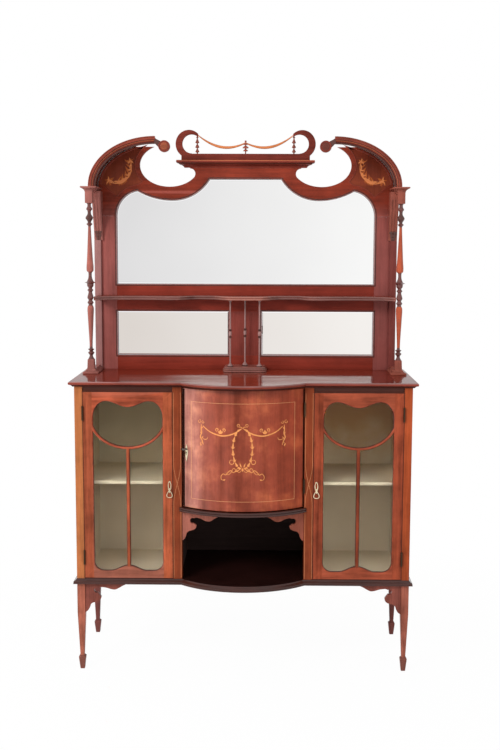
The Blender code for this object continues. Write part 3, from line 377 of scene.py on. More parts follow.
def block(low, high, soft=0.0012, segments=2):
    """A board with softened arrises."""
    size = [b - a for a, b in zip(low, high)]
    middle = [(a + b) / 2 for a, b in zip(low, high)]
    shape = bmesh.new()
    bmesh.ops.create_cube(shape, size=1, matrix=shift(*middle) @ Matrix.Diagonal((*size, 1)))
    bmesh.ops.bevel(shape, geom=list(shape.edges), offset=soft, segments=segments, profile=0.6,
                    affect="EDGES")
    mesh = bpy.data.meshes.new("block")
    shape.to_mesh(mesh)
    shape.free()
    return mesh


def side_block(side, xs, ys, zs, soft=0.0012):
    x0, x1 = sorted((side * xs[0], side * xs[1]))
    return block((x0, ys[0], zs[0]), (x1, ys[1], zs[1]), soft)


def lathe(profile, centre=(0, 0), steps=40, cut=None, paint=None):
    """A turned piece from (height, radius) pairs, with an optional carved change of radius and tones."""
    rings = []
    for z, r in profile:
        ring = []
        for i in range(steps):
            t = 2 * pi * i / steps
            radius = r * (cut(z, t) if cut else 1)
            ring.append((centre[0] + radius * cos(t), centre[1] + radius * sin(t), z))
        rings.append(ring)

    def tone(k, i):
        (z0, r0), (z1, r1) = profile[k], profile[k + 1]
        return paint((z0 + z1) / 2, (r0 + r1) / 2)

    return loft(rings, tone if paint else None)


def sweep(path, section, closed=False):
    """A section of (inward, depth) pairs along a run of points in the front view."""
    rings = [[(x + nx * n, d, z + nz * n) for n, d in section]
             for (x, z), (nx, nz) in zip(path, normals(path, closed))]
    return loft(rings, closed=closed)


def wire(path, radius, steps=12, closed=True, axis=(0, 1, 0)):
    """Round wire along a run of points in the plane across an axis."""
    rings = []
    count = len(path)
    turns = [2 * pi * k / steps for k in range(steps)]
    for i, point in enumerate(path):
        a = Vector(path[i - 1] if i or closed else point)
        b = Vector(path[(i + 1) % count] if i < count - 1 or closed else point)
        along = (b - a).normalized()
        side = along.cross(Vector(axis)).normalized()
        up = side.cross(along)
        rings.append([tuple(Vector(point) + radius * (cos(t) * side + sin(t) * up)) for t in turns])
    return loft(rings, closed=closed)


def join(*meshes):
    """Several meshes as one."""
    shape = bmesh.new()
    for mesh in meshes:
        shape.from_mesh(mesh)
        bpy.data.meshes.remove(mesh)
    result = bpy.data.meshes.new("joined")
    shape.to_mesh(result)
    shape.free()
    return result


def layered(meshes, lift):
    """Meshes joined, each lifted a hair more than the last towards the front."""
    return join(*(moved(mesh, shift(0, -lift * k, 0)) for k, mesh in enumerate(meshes)))


def carve(mesh, tool, operation="DIFFERENCE"):
    """A mesh with another one cut out of it, or kept only within it."""
    kept, cutter = (new_object("carve", part) for part in (mesh, tool))
    cut = kept.modifiers.new("cut", "BOOLEAN")
    cut.operation = operation
    cut.solver = "EXACT"
    cut.object = cutter
    return tidy(finished(kept, cutter))


def painted(mesh, mark):
    """A mesh all in one of its piece's materials."""
    for face in mesh.polygons:
        face.material_index = mark
    return mesh


def add(name, mesh, material, body="carcass", slot="mahogany", nodes=(), sharp=38):
    """A finished piece in the shared frame, riding on its body and standing for its nodes."""
    mesh.transform(shift(0, FACE_Y, 0))
    for entry in material if isinstance(material, (list, tuple)) else [material]:
        mesh.materials.append(entry)
    mesh.shade_smooth()
    mesh.set_sharp_from_angle(angle=radians(sharp))
    mesh.name = name
    obj = new_object(name, mesh)
    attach(obj, body)
    if nodes:
        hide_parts(*nodes)


def dress(node, finish, *looks, **more):
    """A finished piece that stands for one solid and is named after it."""
    add(f"{node}_{finish}", *looks, nodes=[node], **more)


def solid_box(name):
    """Corners of a solid, measured from the front plane of the case."""
    return [corner - Vector((0, FACE_Y, 0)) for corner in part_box(name)]


def colour_solid(name, material):
    """A solid that shows as it is, in a material of the scene."""
    frame["nodes"][name].data.materials[0] = material


# Materials

FIBRE_STRETCH = 0.055
STREAK_SCALE = 74
BLOTCH_SCALE = 10
PORE_SCALE = 430


class Graph:
    """The nodes of a material or world, with short ways to add and join them."""

    def __init__(self, data):
        self.data = data
        data.use_nodes = True
        self.tree = data.node_tree
        self.shader = self.tree.nodes.get("Principled BSDF")

    def put(self, socket, value):
        if isinstance(value, bpy.types.NodeSocket):
            self.tree.links.new(value, socket)
        else:
            socket.default_value = value

    def node(self, kind, inputs=None, **settings):
        made = self.tree.nodes.new("ShaderNode" + kind)
        for key, value in settings.items():
            setattr(made, key, value)
        for key, value in (inputs or {}).items():
            self.put(made.inputs[key], value)
        return made

    def place(self):
        return self.node("TexCoord").outputs["Object"]

    def parts(self, vector):
        return self.node("SeparateXYZ", {"Vector": vector}).outputs

    def noise(self, vector, scale, detail=4, rough=0.55, bend=0):
        inputs = {"Vector": vector, "Scale": scale, "Detail": detail, "Roughness": rough, "Distortion": bend}
        return self.node("TexNoise", inputs).outputs["Fac"]

    def math(self, operation, a, b, c=0):
        return self.node("Math", {0: a, 1: b, 2: c}, operation=operation).outputs[0]

    def spread(self, value, low, high, to_low=0, to_high=1):
        inputs = {"Value": value, "From Min": low, "From Max": high, "To Min": to_low, "To Max": to_high}
        return self.node("MapRange", inputs).outputs["Result"]

    def ramp(self, value, stops):
        made = self.node("ValToRGB", {"Fac": value})
        band = made.color_ramp
        while len(band.elements) < len(stops):
            band.elements.new(0.5)
        for element, (place, colour) in zip(band.elements, stops):
            element.position = place
            element.color = (*colour, 1)
        return made.outputs["Color"]

    def shades(self, value, colour, change, reach):
        """A colour that darkens and pales by a change either side of the middle."""
        return self.ramp(value, ((0.5 - reach, tint(colour, 1 - change)), (0.5, colour),
                                 (0.5 + reach, tint(colour, 1 + change))))

    def mix(self, amount, a, b, blend="MIX"):
        made = self.node("Mix", {0: amount, 6: a, 7: b}, data_type="RGBA", blend_type=blend)
        return made.outputs[2]

    def change(self, amount, body, gain):
        """A colour multiplied by a gain, by an amount."""
        return self.mix(amount, body, self.mix(1, body, (*gain, 1), "MULTIPLY"))

    def set(self, **values):
        for key, value in values.items():
            self.put(self.shader.inputs[key.replace("_", " ")], value)

    def bump(self, height, strength, distance):
        inputs = {"Height": height, "Strength": strength, "Distance": distance}
        return self.node("Bump", inputs).outputs["Normal"]


def tint(colour, gain):
    return tuple(min(1, c * gain) for c in colour)


def wood(name, colour, grain="Z", rough=0.3, shine=0.06, figure=0.6, seed=0, level=0.04, coarse=1,
         polish=None, fade=None, across=None, fold=None, pale=None, haze=0.07, gloss=1.5, flame=None,
         lean=None):
    """Polished mahogany with fibres along one axis.

    polish gives the coat's weight along X, lower where it is rubbed away, haze its roughness and gloss its
    IOR.
    fade, across, fold and pale each change the colour between two places: by height, along X, out from the
    middle and along X again; several materials use them to paint light into the colour: painted shade,
    painted highlights, a painted sheen and a painted reflection. flame colours the paler patches, and lean is
    the slope of the polish on an old board that has cupped towards the front. Convex edges are lightened, as
    wear and as a painted edge highlight, and hollows darkened, as dirt and as painted shade.
    """
    g = Graph(bpy.data.materials.new(name))
    along = tuple(FIBRE_STRETCH if axis == grain else 1 for axis in "XYZ")
    place = g.place()
    spot = g.parts(place)
    mapping = {"Vector": place, "Scale": along, "Location": (seed, 1.7 * seed, 2.3 * seed)}
    fibre = g.node("Mapping", mapping).outputs["Vector"]
    streak = g.noise(fibre, STREAK_SCALE / coarse, 5, 0.62, 0.4)
    blotch = g.noise(place, BLOTCH_SCALE, 4, 0.6)
    pore = g.noise(fibre, PORE_SCALE, 3, 0.7)
    tone = g.math("MULTIPLY_ADD", streak, 0.52, g.math("MULTIPLY", blotch, 0.48))
    body = g.shades(tone, colour, 0.62 * figure, 0.14)
    away = g.math("ABSOLUTE", spot["X"], 0) if fold else None
    for wanted, where in ((fade, spot["Z"]), (across, spot["X"]), (fold, away), (pale, spot["X"])):
        if wanted:
            start, stop, gain = wanted
            body = g.change(g.spread(where, start, stop), body, gain)
    if flame:
        body = g.change(g.spread(blotch, 0.5, 0.66), body, flame)
    body = g.mix(g.spread(pore, 0.56, 0.72, 0, 0.6), body, (*tint(colour, 0.35), 1))
    edge = g.node("NewGeometry").outputs["Pointiness"]
    # Convex edges lightened: wear, and a painted edge highlight.
    edge_wear_and_highlight = g.mix(g.spread(edge, 0.515, 0.6, 0, 0.5), body, (*tint(colour, 1.75), 1))
    # Hollows darkened: dirt, and painted shade.
    grime_and_crease_shade = g.mix(g.spread(edge, 0.485, 0.42, 0, 0.7), edge_wear_and_highlight, (*tint(colour, 0.2), 1))
    g.set(Base_Color=grime_and_crease_shade, Roughness=g.spread(streak, 0.35, 0.65, rough * 0.8, rough * 1.25),
          Coat_Weight=shine, Coat_Roughness=haze, Coat_IOR=gloss, Specular_IOR_Level=level)
    if polish:
        bands = g.ramp(g.spread(spot["X"], -0.6, 0.6), [(at, (weight,) * 3) for at, weight in polish])
        weight = g.node("RGBToBW", {"Color": bands}).outputs["Val"]
        g.set(Coat_Weight=g.math("MULTIPLY", weight, g.spread(streak, 0.36, 0.6, 0.35, 1)))
    if lean:
        g.set(Coat_Normal=g.bump(spot["Y"], 1, lean))
    g.set(Normal=g.bump(g.math("MULTIPLY_ADD", streak, 0.5, pore), 0.25 * rough, 0.0006))
    return g.data


def plain(name, colour, rough, grain_scale=120, change=0.25, metal=0, dent=0.05):
    """A painted, cloth or metal surface with slight mottling, and painted shade in its hollows."""
    g = Graph(bpy.data.materials.new(name))
    place = g.place()
    cloud = g.noise(place, 7, 3)
    speck = g.noise(place, grain_scale, 3, 0.6)
    tone = g.math("MULTIPLY_ADD", cloud, 0.7, g.math("MULTIPLY", speck, 0.3))
    body = g.shades(tone, colour, change, 0.18)
    edge = g.node("NewGeometry").outputs["Pointiness"]
    # Hollows and creases darkened: painted shade.
    body = g.mix(g.spread(edge, 0.49, 0.4, 0, 0.6), body, (*tint(colour, 0.3), 1))
    g.set(Base_Color=body, Metallic=metal, Roughness=g.spread(speck, 0.3, 0.7, rough * 0.8, rough * 1.2),
          Normal=g.bump(speck, dent, 0.0008))
    return g.data


def make_glass():
    g = Graph(bpy.data.materials.new("clear_glass"))
    ripple = g.noise(g.place(), 9, 1)
    g.set(Base_Color=(0.97, 0.98, 0.96, 1), Transmission_Weight=1, IOR=1.15,
          Roughness=g.spread(ripple, 0.3, 0.7, 0, 0.012), Normal=g.bump(ripple, 0.02, 0.002))
    return g.data


def make_mirror(name, dim, bright):
    """Old silvering, a little clearer towards the right."""
    g = Graph(bpy.data.materials.new(name))
    place = g.place()
    cloud = g.noise(place, 2.2, 2)
    tone = g.math("MULTIPLY_ADD", g.parts(place)["X"], 0.85, g.math("MULTIPLY_ADD", cloud, 0.3, 0.35))
    g.set(Base_Color=g.ramp(tone, ((0.1, dim), (0.9, bright))), Metallic=1,
          Roughness=g.spread(g.noise(place, 30), 0.3, 0.7, 0.012, 0.03))
    return g.data


def make_lining():
    """Old cloth with painted light: painted shade makes it browner towards the top and in a band under the
    shelf, and paler at the foot, and a painted reflection makes it brownest at the top on the right.
    """
    g = Graph(bpy.data.materials.new("lining"))
    place = g.place()
    spot = g.parts(place)
    cloud = g.noise(place, 11, 4, 0.6)
    weave = g.noise(place, 420, 2)
    level = g.spread(g.math("MULTIPLY_ADD", cloud, 0.16, spot["Z"]), 0.418, 1.11)
    # The ramp by height is painted shade: dark under the top and in a band under the shelf, pale at the foot.
    body = g.ramp(level, ((0, (0.84, 0.73, 0.57)), (0.34, (0.66, 0.55, 0.4)), (0.42, (0.52, 0.39, 0.27)),
                          (0.52, (0.74, 0.62, 0.42)), (0.72, (0.55, 0.45, 0.29)), (1, (0.48, 0.37, 0.23))))
    # Browner at the top on the right: a painted reflection.
    top_right_reflection = g.math("MULTIPLY", g.spread(spot["X"], 0, 0.1), g.spread(level, 0.55, 0.75))
    g.set(Base_Color=g.change(top_right_reflection, body, (1, 0.7, 0.48)), Specular_IOR_Level=0.1,
          Roughness=g.spread(weave, 0.3, 0.7, 0.75, 0.95), Normal=g.bump(weave, 0.08, 0.0006))
    return g.data


WORN_POLISH = ((0, 0.04), (0.1, 0.1), (0.25, 0.15), (0.35, 1), (0.88, 1), (0.97, 0.08))
BOW_POLISH = ((0.32, 1), (0.36, 0.9), (0.42, 0.35), (0.48, 0.18), (0.68, 0.06))
# Uprights: the left paler as a painted sheen, the right darker and both darker near the top as painted shade.
FRAME_Z = wood("frame_upright", (0.25, 0.072, 0.062), seed=0.3, fade=(1.45, 1.625, (0.9, 0.8, 0.72)),
               across=(-0.4, 0.4, (0.71, 0.65, 0.65)))
FRAME_ACROSS = wood("frame_rail", (0.18, 0.025, 0.015), "X", seed=0.7)
# The left strip is paler and greyer than the right one: a painted sheen.
STRIP_LEFT_SHEEN = wood("left_strip_painted_sheen", (0.235, 0.11, 0.102), "Z", 0.3, 0.12, 0.5, 0.9)
STRIP_RIGHT = wood("right_strip_wood", (0.15, 0.036, 0.03), "Z", 0.3, 0.1, 0.5, 0.8)
MUNTIN_WOOD = wood("muntin_wood", (0.18, 0.038, 0.029), seed=0.5)
# The crest is paler below 1.625 m and darker above 1.68 m: painted light against the corbels' shadow.
CREST_WOOD = wood("crest_wood", (0.23, 0.06, 0.047), "X", seed=1.1, fade=(1.625, 1.68, (0.9, 0.5, 0.31)))
# The sunk panels darken towards the top: painted shade under the hoods.
PANEL_WOOD = wood("spandrel_veneer", (0.175, 0.034, 0.016), seed=1.9, fade=(1.77, 1.83, (0.6, 0.5, 0.56)))
# The top is paler and warmer in the middle: a painted reflection.
TOP_WOOD = wood("top_wood", (0.165, 0.021, 0.011), "X", 0.1, 0.3, 0.5, 2.3, 0.03, 1, WORN_POLISH,
                fold=(0.42, 0.12, (1.55, 1.45, 1)), haze=0.09, gloss=1.8, lean=0.072)
# Pale tone for the top's rounded nosing: a painted highlight.
NOSING_HIGHLIGHT = wood("nosing_painted_highlight", (0.23, 0.095, 0.085), "X", 0.18, 0.5, 0.5, 2.9)
DOOR_LEFT = wood("left_door_stile", (0.27, 0.061, 0.027), figure=0.85, seed=3.1,
                 across=(-0.53, -0.28, (1.33, 1.32, 1.22)))
DOOR_LEFT_RAIL = wood("left_door_rail", (0.27, 0.086, 0.055), "X", figure=0.85, seed=3.7,
                      fade=(0.5, 0.9, (1.35, 0.85, 0.61)))
DOOR_RIGHT = wood("right_door_stile", (0.255, 0.05, 0.022), figure=0.85, seed=3.3)
DOOR_RIGHT_RAIL = wood("right_door_rail", (0.275, 0.058, 0.028), "X", figure=0.85, seed=3.9)
PILASTER_WOOD = wood("pilaster_wood", (0.19, 0.038, 0.014), figure=0.85, seed=3.5)
# Near-black slips round the lights: painted shadow of the rebate.
REBATE_SHADOW = wood("rebate_painted_shadow", (0.08, 0.034, 0.03), "Z", 0.25, 0.3, 0.4, 3.6)
COCK_BEAD = wood("cock_bead_wood", (0.055, 0.016, 0.011), "Z", 0.22, 0.2, 0.5, 3.8)
# Near-black colour for the strips by the bowed door and for the keyhole: painted shadow.
PAINTED_SHADOW = wood("door_edge_wood", (0.012, 0.004, 0.003), "Z", 0.6, 0, 0.4, 3.2, 0)
POST_LEFT = wood("left_post_wood", (0.335, 0.11, 0.038), figure=0.85, seed=4.1)
POST_RIGHT = wood("right_post_wood", (0.29, 0.054, 0.017), figure=0.85, seed=4.9)
LEG_LEFT = wood("left_leg_wood", (0.35, 0.106, 0.066), figure=0.85, seed=4.3)
LEG_RIGHT = wood("right_leg_wood", (0.31, 0.092, 0.06), figure=0.85, seed=4.5)
SIDE_WOOD = wood("case_end", (0.27, 0.057, 0.026), figure=0.85, seed=5.3)
LEG_BACK = wood("back_leg_wood", (0.165, 0.052, 0.044), seed=4.7)
FOOT_WOOD = wood("spade_foot_wood", (0.18, 0.062, 0.045), seed=4.8)
LEG_BRACKET = wood("leg_bracket_wood", (0.215, 0.062, 0.045), seed=5.1)
NICHE_BRACKET = wood("niche_bracket_wood", (0.38, 0.125, 0.088), seed=5.2,
                     across=(-0.1, 0.1, (0.66, 0.55, 0.48)))
# pale lightens the veneer towards its left edge: a painted sheen.
BOW_WOOD = wood("bowed_veneer", (0.25, 0.047, 0.023), "Z", 0.24, 0.3, 0.8, 6.1, 0.06, 3.2, BOW_POLISH,
                across=(0.05, 0.2, (1, 0.82, 0.66)), pale=(-0.125, -0.205, (1.7, 3.1, 4.6)),
                haze=0.12, gloss=1.8, flame=(1.3, 1.65, 1.45))
TURNED_LEFT = wood("left_turned_wood", (0.31, 0.088, 0.066), "Z", 0.18, 0.6, 0.6, 7.2)
TURNED_RIGHT = wood("right_turned_wood", (0.42, 0.072, 0.024), "Z", 0.18, 0.6, 0.6, 7.4)
TURNED_BEAD = wood("turned_bead_wood", (0.12, 0.036, 0.03), "Z", 0.15, 0.9, 0.5, 7.8)
TURNED = wood("turned_wood", (0.29, 0.062, 0.036), "Z", 0.2, 0.5, 0.6, 7.3)
PALE_LEFT = wood("left_capital_wood", (0.24, 0.085, 0.07), "Z", 0.26, 0.15, 0.5, 7.5)
PALE_RIGHT = wood("right_capital_wood", (0.225, 0.062, 0.042), "Z", 0.26, 0.15, 0.5, 7.6)
TURNED_DARK = wood("dark_turned_wood", (0.075, 0.026, 0.02), "Z", 0.18, 0.7, 0.5, 7.7)
SPINDLE_WOOD = wood("spindle_wood", (0.33, 0.18, 0.165), "Z", 0.16, 0.7, 0.5, 7.9)
MOULDING = wood("moulded_wood", (0.185, 0.035, 0.022), "X", 0.22, 0.2, 0.6, 8.1)
CORNICE_WOOD = wood("cornice_wood", (0.15, 0.026, 0.017), "X", 0.26, 0.1, 0.6, 8.2)
# Paler tone for the reeds and roundings of the hood and cornice: a painted highlight.
REED_HIGHLIGHT = wood("reed_painted_highlight", (0.32, 0.088, 0.04), "X", 0.2, 0.3, 0.4, 8.3)
PLINTH_WOOD = wood("plinth_wood", (0.23, 0.085, 0.068), "X", 0.24, 0.5, 0.5, 8, haze=0.25)
# Shelf reeds darker away from the middle, leaving a painted highlight on the middle.
SHELF_REED = wood("shelf_reed_painted_highlight", (0.33, 0.122, 0.09), "X", 0.12, 0.9, 0.5, 8.5, 0.1,
                  fold=(0.06, 0.12, (0.38, 0.4, 0.47)))
EDGE_WOOD = wood("reeded_wood", (0.046, 0.014, 0.01), "X", 0.14, 0.6, 0.5, 8.9, 0.1)
DARK_WOOD = wood("dark_wood", (0.062, 0.014, 0.009), "X", 0.32, 0.06, 0.6, 9.3)
FACING_WOOD = wood("facing_wood", (0.062, 0.018, 0.012), "X", 0.24, 0.2, 0.6, 9.4)
NICHE_WOOD = wood("niche_wood", (0.05, 0.032, 0.029), "X", 0.45, 0, 0.5, 9.9, 0)
NICHE_FLOOR = wood("niche_floor_wood", (0.018, 0.0055, 0.0045), "X", 0.2, 0, 0.5, 9.7, 0.04)
ROUNDEL_WOOD = wood("roundel_wood", (0.27, 0.066, 0.03), "X", 0.22, 0.3, 0.7, 10.1,
                    across=(-0.1, 0.1, (0.4, 0.42, 0.62)))
# Pale orange for the spandrel inlays, and for the gallery swags, where the paleness is painted light from
# above.
PALE_INLAY_AND_LIT_SWAG = wood("pale_inlay_and_lit_swag", (0.54, 0.175, 0.06), "X", 0.28, 0.1, 0.5, 10.3)
BACK_WOOD = wood("back_boards", (0.19, 0.085, 0.045), "Z", 0.55, 0, 0.8, 11.3)
SATIN = wood("satinwood_inlay", (0.54, 0.21, 0.07), seed=12.1)
SATIN_RED = wood("shaded_inlay", (0.35, 0.085, 0.022), seed=12.3)
STRING = wood("boxwood_string", (0.5, 0.22, 0.1), figure=0.5, seed=12.7)
LINING = make_lining()
SHELF_LINING = plain("shelf_cloth", (0.78, 0.66, 0.47), 0.8, 260, 0.1)
BRASS = plain("worn_brass", (0.8, 0.69, 0.48), 0.24, 180, 0.25, 1, 0.02)
IRON = plain("key_metal", (0.2, 0.17, 0.15), 0.22, 220, 0.3, 1, 0.03)
AGED_BRASS = plain("aged_brass", (0.07, 0.042, 0.026), 0.42, 180, 0.2, 1, 0.03)
GLASS = make_glass()
SILVER = make_mirror("silvered_glass", (0.73, 0.725, 0.73), (0.93, 0.93, 0.925))
# Brighter silvering for the mirrors' sloping borders: a painted highlight.
BEVEL_HIGHLIGHT = make_mirror("bevel_painted_highlight", (0.9, 0.9, 0.91), (0.97, 0.97, 0.97))
SILVER_LOW = make_mirror("old_silvered_glass", (0.72, 0.67, 0.63), (0.9, 0.87, 0.84))


# Lower case

def bowed_outline(half, front_y, back, rise, inset):
    """Plan of a board whose front swells in a bow between two straight wings."""
    radius = (BOW_HALF ** 2 + rise ** 2) / (2 * rise)
    middle = front_y - rise + radius
    swing = degrees(acos((middle - front_y + inset) / (radius + inset)))
    bow = circle(0, middle, radius + inset, -90 - swing, -90 + swing, 72)
    x, y = half + inset, front_y - inset
    return [(-x, back), (-x, y), *bow, (x, y), (x, back)]


def mid_shelf_outline(inset):
    """Plan of the middle shelf, notched round the pilasters."""
    half, nose = MID_SHELF_EAR + inset, MID_SHELF_FRONT - inset
    radius = (MID_SHELF_EAR ** 2 + MID_SHELF_RISE ** 2) / (2 * MID_SHELF_RISE) + inset
    swing = degrees(asin(half / radius))
    bow = circle(0, nose - MID_SHELF_RISE + radius, radius, -90 - swing, -90 + swing, 72)
    side, notch, inner = 0.2227, PILASTER_D + GAP, BAY_X - GAP
    left = [(-side, BACK_Y - GAP), (-side, notch), (-inner, notch), (-inner, -GAP), (-half, -GAP)]
    return [*left, *bow, *flip(left)]


def stack(outline, low, rings, paint=None):
    """A moulded slab from (height, inset) pairs in millimetres, toned by height."""
    def tone(k, i):
        return paint((rings[k][0] + rings[k + 1][0]) / 2)

    return loft([[(x, y, low + z / 1000) for x, y in outline(d / 1000)] for z, d in rings],
                tone if paint else None)


TOP_EDGE = ((0, -16), (0, -13.2), (0.8, -12.6), (2.6, -11.4), (4.8, -9), (6.4, -5.6), (6.9, -3.8),
            (7.2, -3.6), (7.6, -1.8), (8.4, -0.7), (9.8, -0.15), (12, 0), (14.4, -0.2), (16, -0.9),
            (17.2, -2.2), (17.8, -3.8), (18, -5.6), (18, -9))
BASE_EDGE = ((0, -4), (0, -1.4), (0.5, -0.5), (1.8, 0), (3.4, -0.1), (4.6, -0.7), (5, -1.5), (5.3, -1.6),
             (5.8, -0.9), (7, -0.6), (8.4, -0.8), (9.5, -1.6), (9.8, -2.6), (10.2, -3), (11.4, -4.2),
             (13, -6.6), (14.6, -8.6), (16.4, -10), (18, -10.8), (18.5, -11.4), (18.5, -14))
REED_EDGE = ((0, -7), (0, -3), (0.7, -1.6), (2.2, -0.4), (4, 0), (5.8, -0.4), (7.3, -1.5), (7.9, -2.6),
             (8.2, -2.6), (8.8, -1.5), (10.2, -0.4), (12, 0), (13.8, -0.4), (15.2, -1.6), (16, -3.2),
             (16, -7))


def make_boards():
    # The top's edge is toned by height: a pale nosing as a painted highlight and a dark cove below as painted
    # shade.
    top = stack(lambda d: bowed_outline(*TOP_PLAN, d), CEIL_Z, TOP_EDGE,
                lambda z: 0 if z > 17.9 else 1 if z > 14 else 2 if z > 7.3 else 3)
    dress("top_board", "moulded", top, [TOP_WOOD, NOSING_HIGHLIGHT, MOULDING, DARK_WOOD])
    base = stack(lambda d: bowed_outline(*BASE_PLAN, d), LEG_H, BASE_EDGE, lambda z: 1 if z > 18.4 else 0)
    dress("base_board", "moulded", base, [EDGE_WOOD, NICHE_FLOOR], slot=DARK)
    dress("mid_shelf", "reeded", stack(mid_shelf_outline, MID_SHELF_Z, REED_EDGE), EDGE_WOOD, slot=DARK)


def make_legs():
    taper = mm((213.5, 14), (209, 13.85), (54, 7.35), (51.2, 7.4), (49, 9.4), (46.8, 11.6), (45, 12.3),
               (42.5, 12.1), (1, 7.7), (0, 7))
    profile = [(CEIL_Z - GAP, POST / 2), (LEG_H, POST / 2), *taper]
    for side, word in SIDES:
        post, leg = (POST_LEFT, LEG_LEFT) if side < 0 else (POST_RIGHT, LEG_RIGHT)
        for depth, y, below, foot in (("front", POST / 2, leg, FOOT_WOOD),
                                      ("back", CASE_D - POST / 2, LEG_BACK, LEG_BACK)):
            rings = [soft_square(side * POST_X, y, z, half, 0.001) for z, half in profile]
            mesh = loft(rings, lambda k, i: 0 if k == 0 else 1 if k < 5 else 2)
            dress(f"{word}_{depth}_leg", "wood", mesh, [post, below, foot])


def bracket_outline(width, height, drop):
    """A pierced bracket below its corner, in shares of its size; its wing hangs lower by the drop."""
    def scaled(rows):
        return [(x * width, -z * height - share * drop) for x, z, share in rows]

    wing = smooth(scaled(((1, 0.045, 1), (0.92, 0.095, 1), (0.83, 0.165, 1), (0.74, 0.218, 1),
                          (0.64, 0.205, 1), (0.51, 0.155, 0.8), (0.38, 0.135, 0.6))), 6)
    bite = arc(0.285 * width, -0.245 * height - 0.6 * drop, 0.07 * width, 0.092 * height, 62, 290, 24)
    leg = smooth(scaled(((0.34, 0.385, 0.4), (0.388, 0.49, 0), (0.355, 0.59, 0), (0.27, 0.645, 0),
                         (0.18, 0.675, 0), (0.125, 0.745, 0), (0.104, 0.84, 0), (0.062, 0.935, 0),
                         (0, 1, 0))), 6)
    return [(0, 0), (width, 0), *wing, *bite, *leg]


def make_brackets():
    rows = (("leg", INNER_X - GAP, LEG_H - GAP, (0.145, 0.108, 0), 0.018, LEG_BRACKET),
            ("niche", BAY_X - GAP, MID_SHELF_Z - GAP, (0.131, 0.108, 0.014), 0.012, NICHE_BRACKET))
    for side, word in SIDES:
        for kind, x, z, size, thick, material in rows:
            outline = [(side * (x - a), z + b) for a, b in bracket_outline(*size)]
            mesh = front(plate([outline], thick, 0.0009), 0.004 + thick / 2)
            dress(f"{word}_{kind}_bracket", "wood", mesh, material)


FACING_EDGE = mm((6, 6.2), (4.8, 5.6), (3.6, 4), (3.6, 2.6), (5, 1.2), (31.5, 1.2))


def make_case():
    low, high = FLOOR_Z + GAP, CEIL_Z - GAP
    facing = [(0.0315, high), (0.006, high), *((y, DOOR_TOP + z) for y, z in FACING_EDGE)]
    ys = (POST + GAP, CASE_D - POST - GAP)
    for side, word in SIDES:
        end = side_block(side, (INNER_X, INNER_X + END_T), ys, (low, high), 0.0006)
        dress(f"{word}_end_panel", "wood", end, SIDE_WOOD)
        dress_pilaster(side, word, low, high)
        line_cupboard(side, word, low, high)
        ends = sorted((side * (BAY_X + PILASTER_W + GAP), side * (INNER_X - GAP)))
        mesh = loft([[(x, y, z) for y, z in facing] for x in ends])
        add(f"{word}_rail_facing", mesh, FACING_WOOD, slot=DARK)
        colour_solid(f"{word}_partition", NICHE_WOOD)
    wall, back = 0.222, BACK_Y - GAP
    levels = ((low, MID_SHELF_Z - GAP), (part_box("mid_shelf")[1].z + GAP, high))
    sheets = [block((-wall, back - SHEET, z0), (wall, back, z1), CRISP) for z0, z1 in levels]
    add("centre_back_facing", join(*sheets), NICHE_WOOD, slot=DARK)
    colour_solid("back_panel", BACK_WOOD)
    colour_solid("top_rail", DARK_WOOD)
    colour_solid("mirror_backboard", BACK_WOOD)


def dress_pilaster(side, word, low, high):
    """A pilaster cut down for the top rail, with a mortise for the bolt and two crossing strings."""
    xs, cut = (BAY_X, BAY_X + PILASTER_W), PILASTER_REBATE - GAP
    body = side_block(side, xs, (0, cut), (low, high))
    rear = side_block(side, xs, (cut, PILASTER_D), (low, high - RAIL_NOTCH), 0.0006)
    if side < 0:
        bolt_low, bolt_high = solid_box("centre_lock_bolt")
        ease = Vector((0, 2 * GAP, 2 * GAP))
        room = Vector((0.0085, 0, 0))
        body = carve(body, block(bolt_low - room - ease, bolt_high + ease, 0.0001, 1))
    dress(f"{word}_pilaster", "wood", join(body, rear), PILASTER_WOOD)
    middle, reach, half, wide = 0.684, 0.075, PILASTER_W / 2 - 0.0035, 0.0004
    strings = []
    for hand in (-1, 1):
        cross = [(-hand * half * sin(t * pi / 2), middle + reach * t) for t in span(-1, 1, 24)]
        path = [(hand * half, low + 0.004), *cross, (-hand * half, high - 0.02)]
        path = [(side * (BAY_X + PILASTER_W / 2) + x, z) for x, z in path]
        top = -0.0001 - 0.00005 * hand
        strings.append(sweep(path, ((-wide, wide), (-wide, top), (wide, top), (wide, wide))))
    add(f"{word}_pilaster_string", join(*strings), STRING)


def line_cupboard(side, word, z0, z1):
    """Cloth on the walls, floor and ceiling of a side cupboard, and on its shelf."""
    x0, x1 = PARTITION_X + GAP, INNER_X - GAP
    y0, y1 = PILASTER_D + 0.001, BACK_Y - GAP
    xs, ys, zs, t = (x0 + SHEET, x1 - SHEET), (y0, y1 - SHEET), (z0, z1), SHEET
    sides = (((x0, x1), (y1 - t, y1), zs), ((x0, x0 + t), ys, zs), ((x1 - t, x1), ys, zs),
             (xs, ys, (z0, z0 + t)), (xs, ys, (z1 - t, z1)))
    sheets = [side_block(side, *sizes, CRISP) for sizes in sides]
    add(f"{word}_cupboard_lining", join(*sheets), LINING, slot="lined_wood")
    dress(f"{word}_cupboard_shelf", "cloth", block(*solid_box(f"{word}_cupboard_shelf"), 0.0016, 3),
          SHELF_LINING, slot="lined_wood")


# Side doors

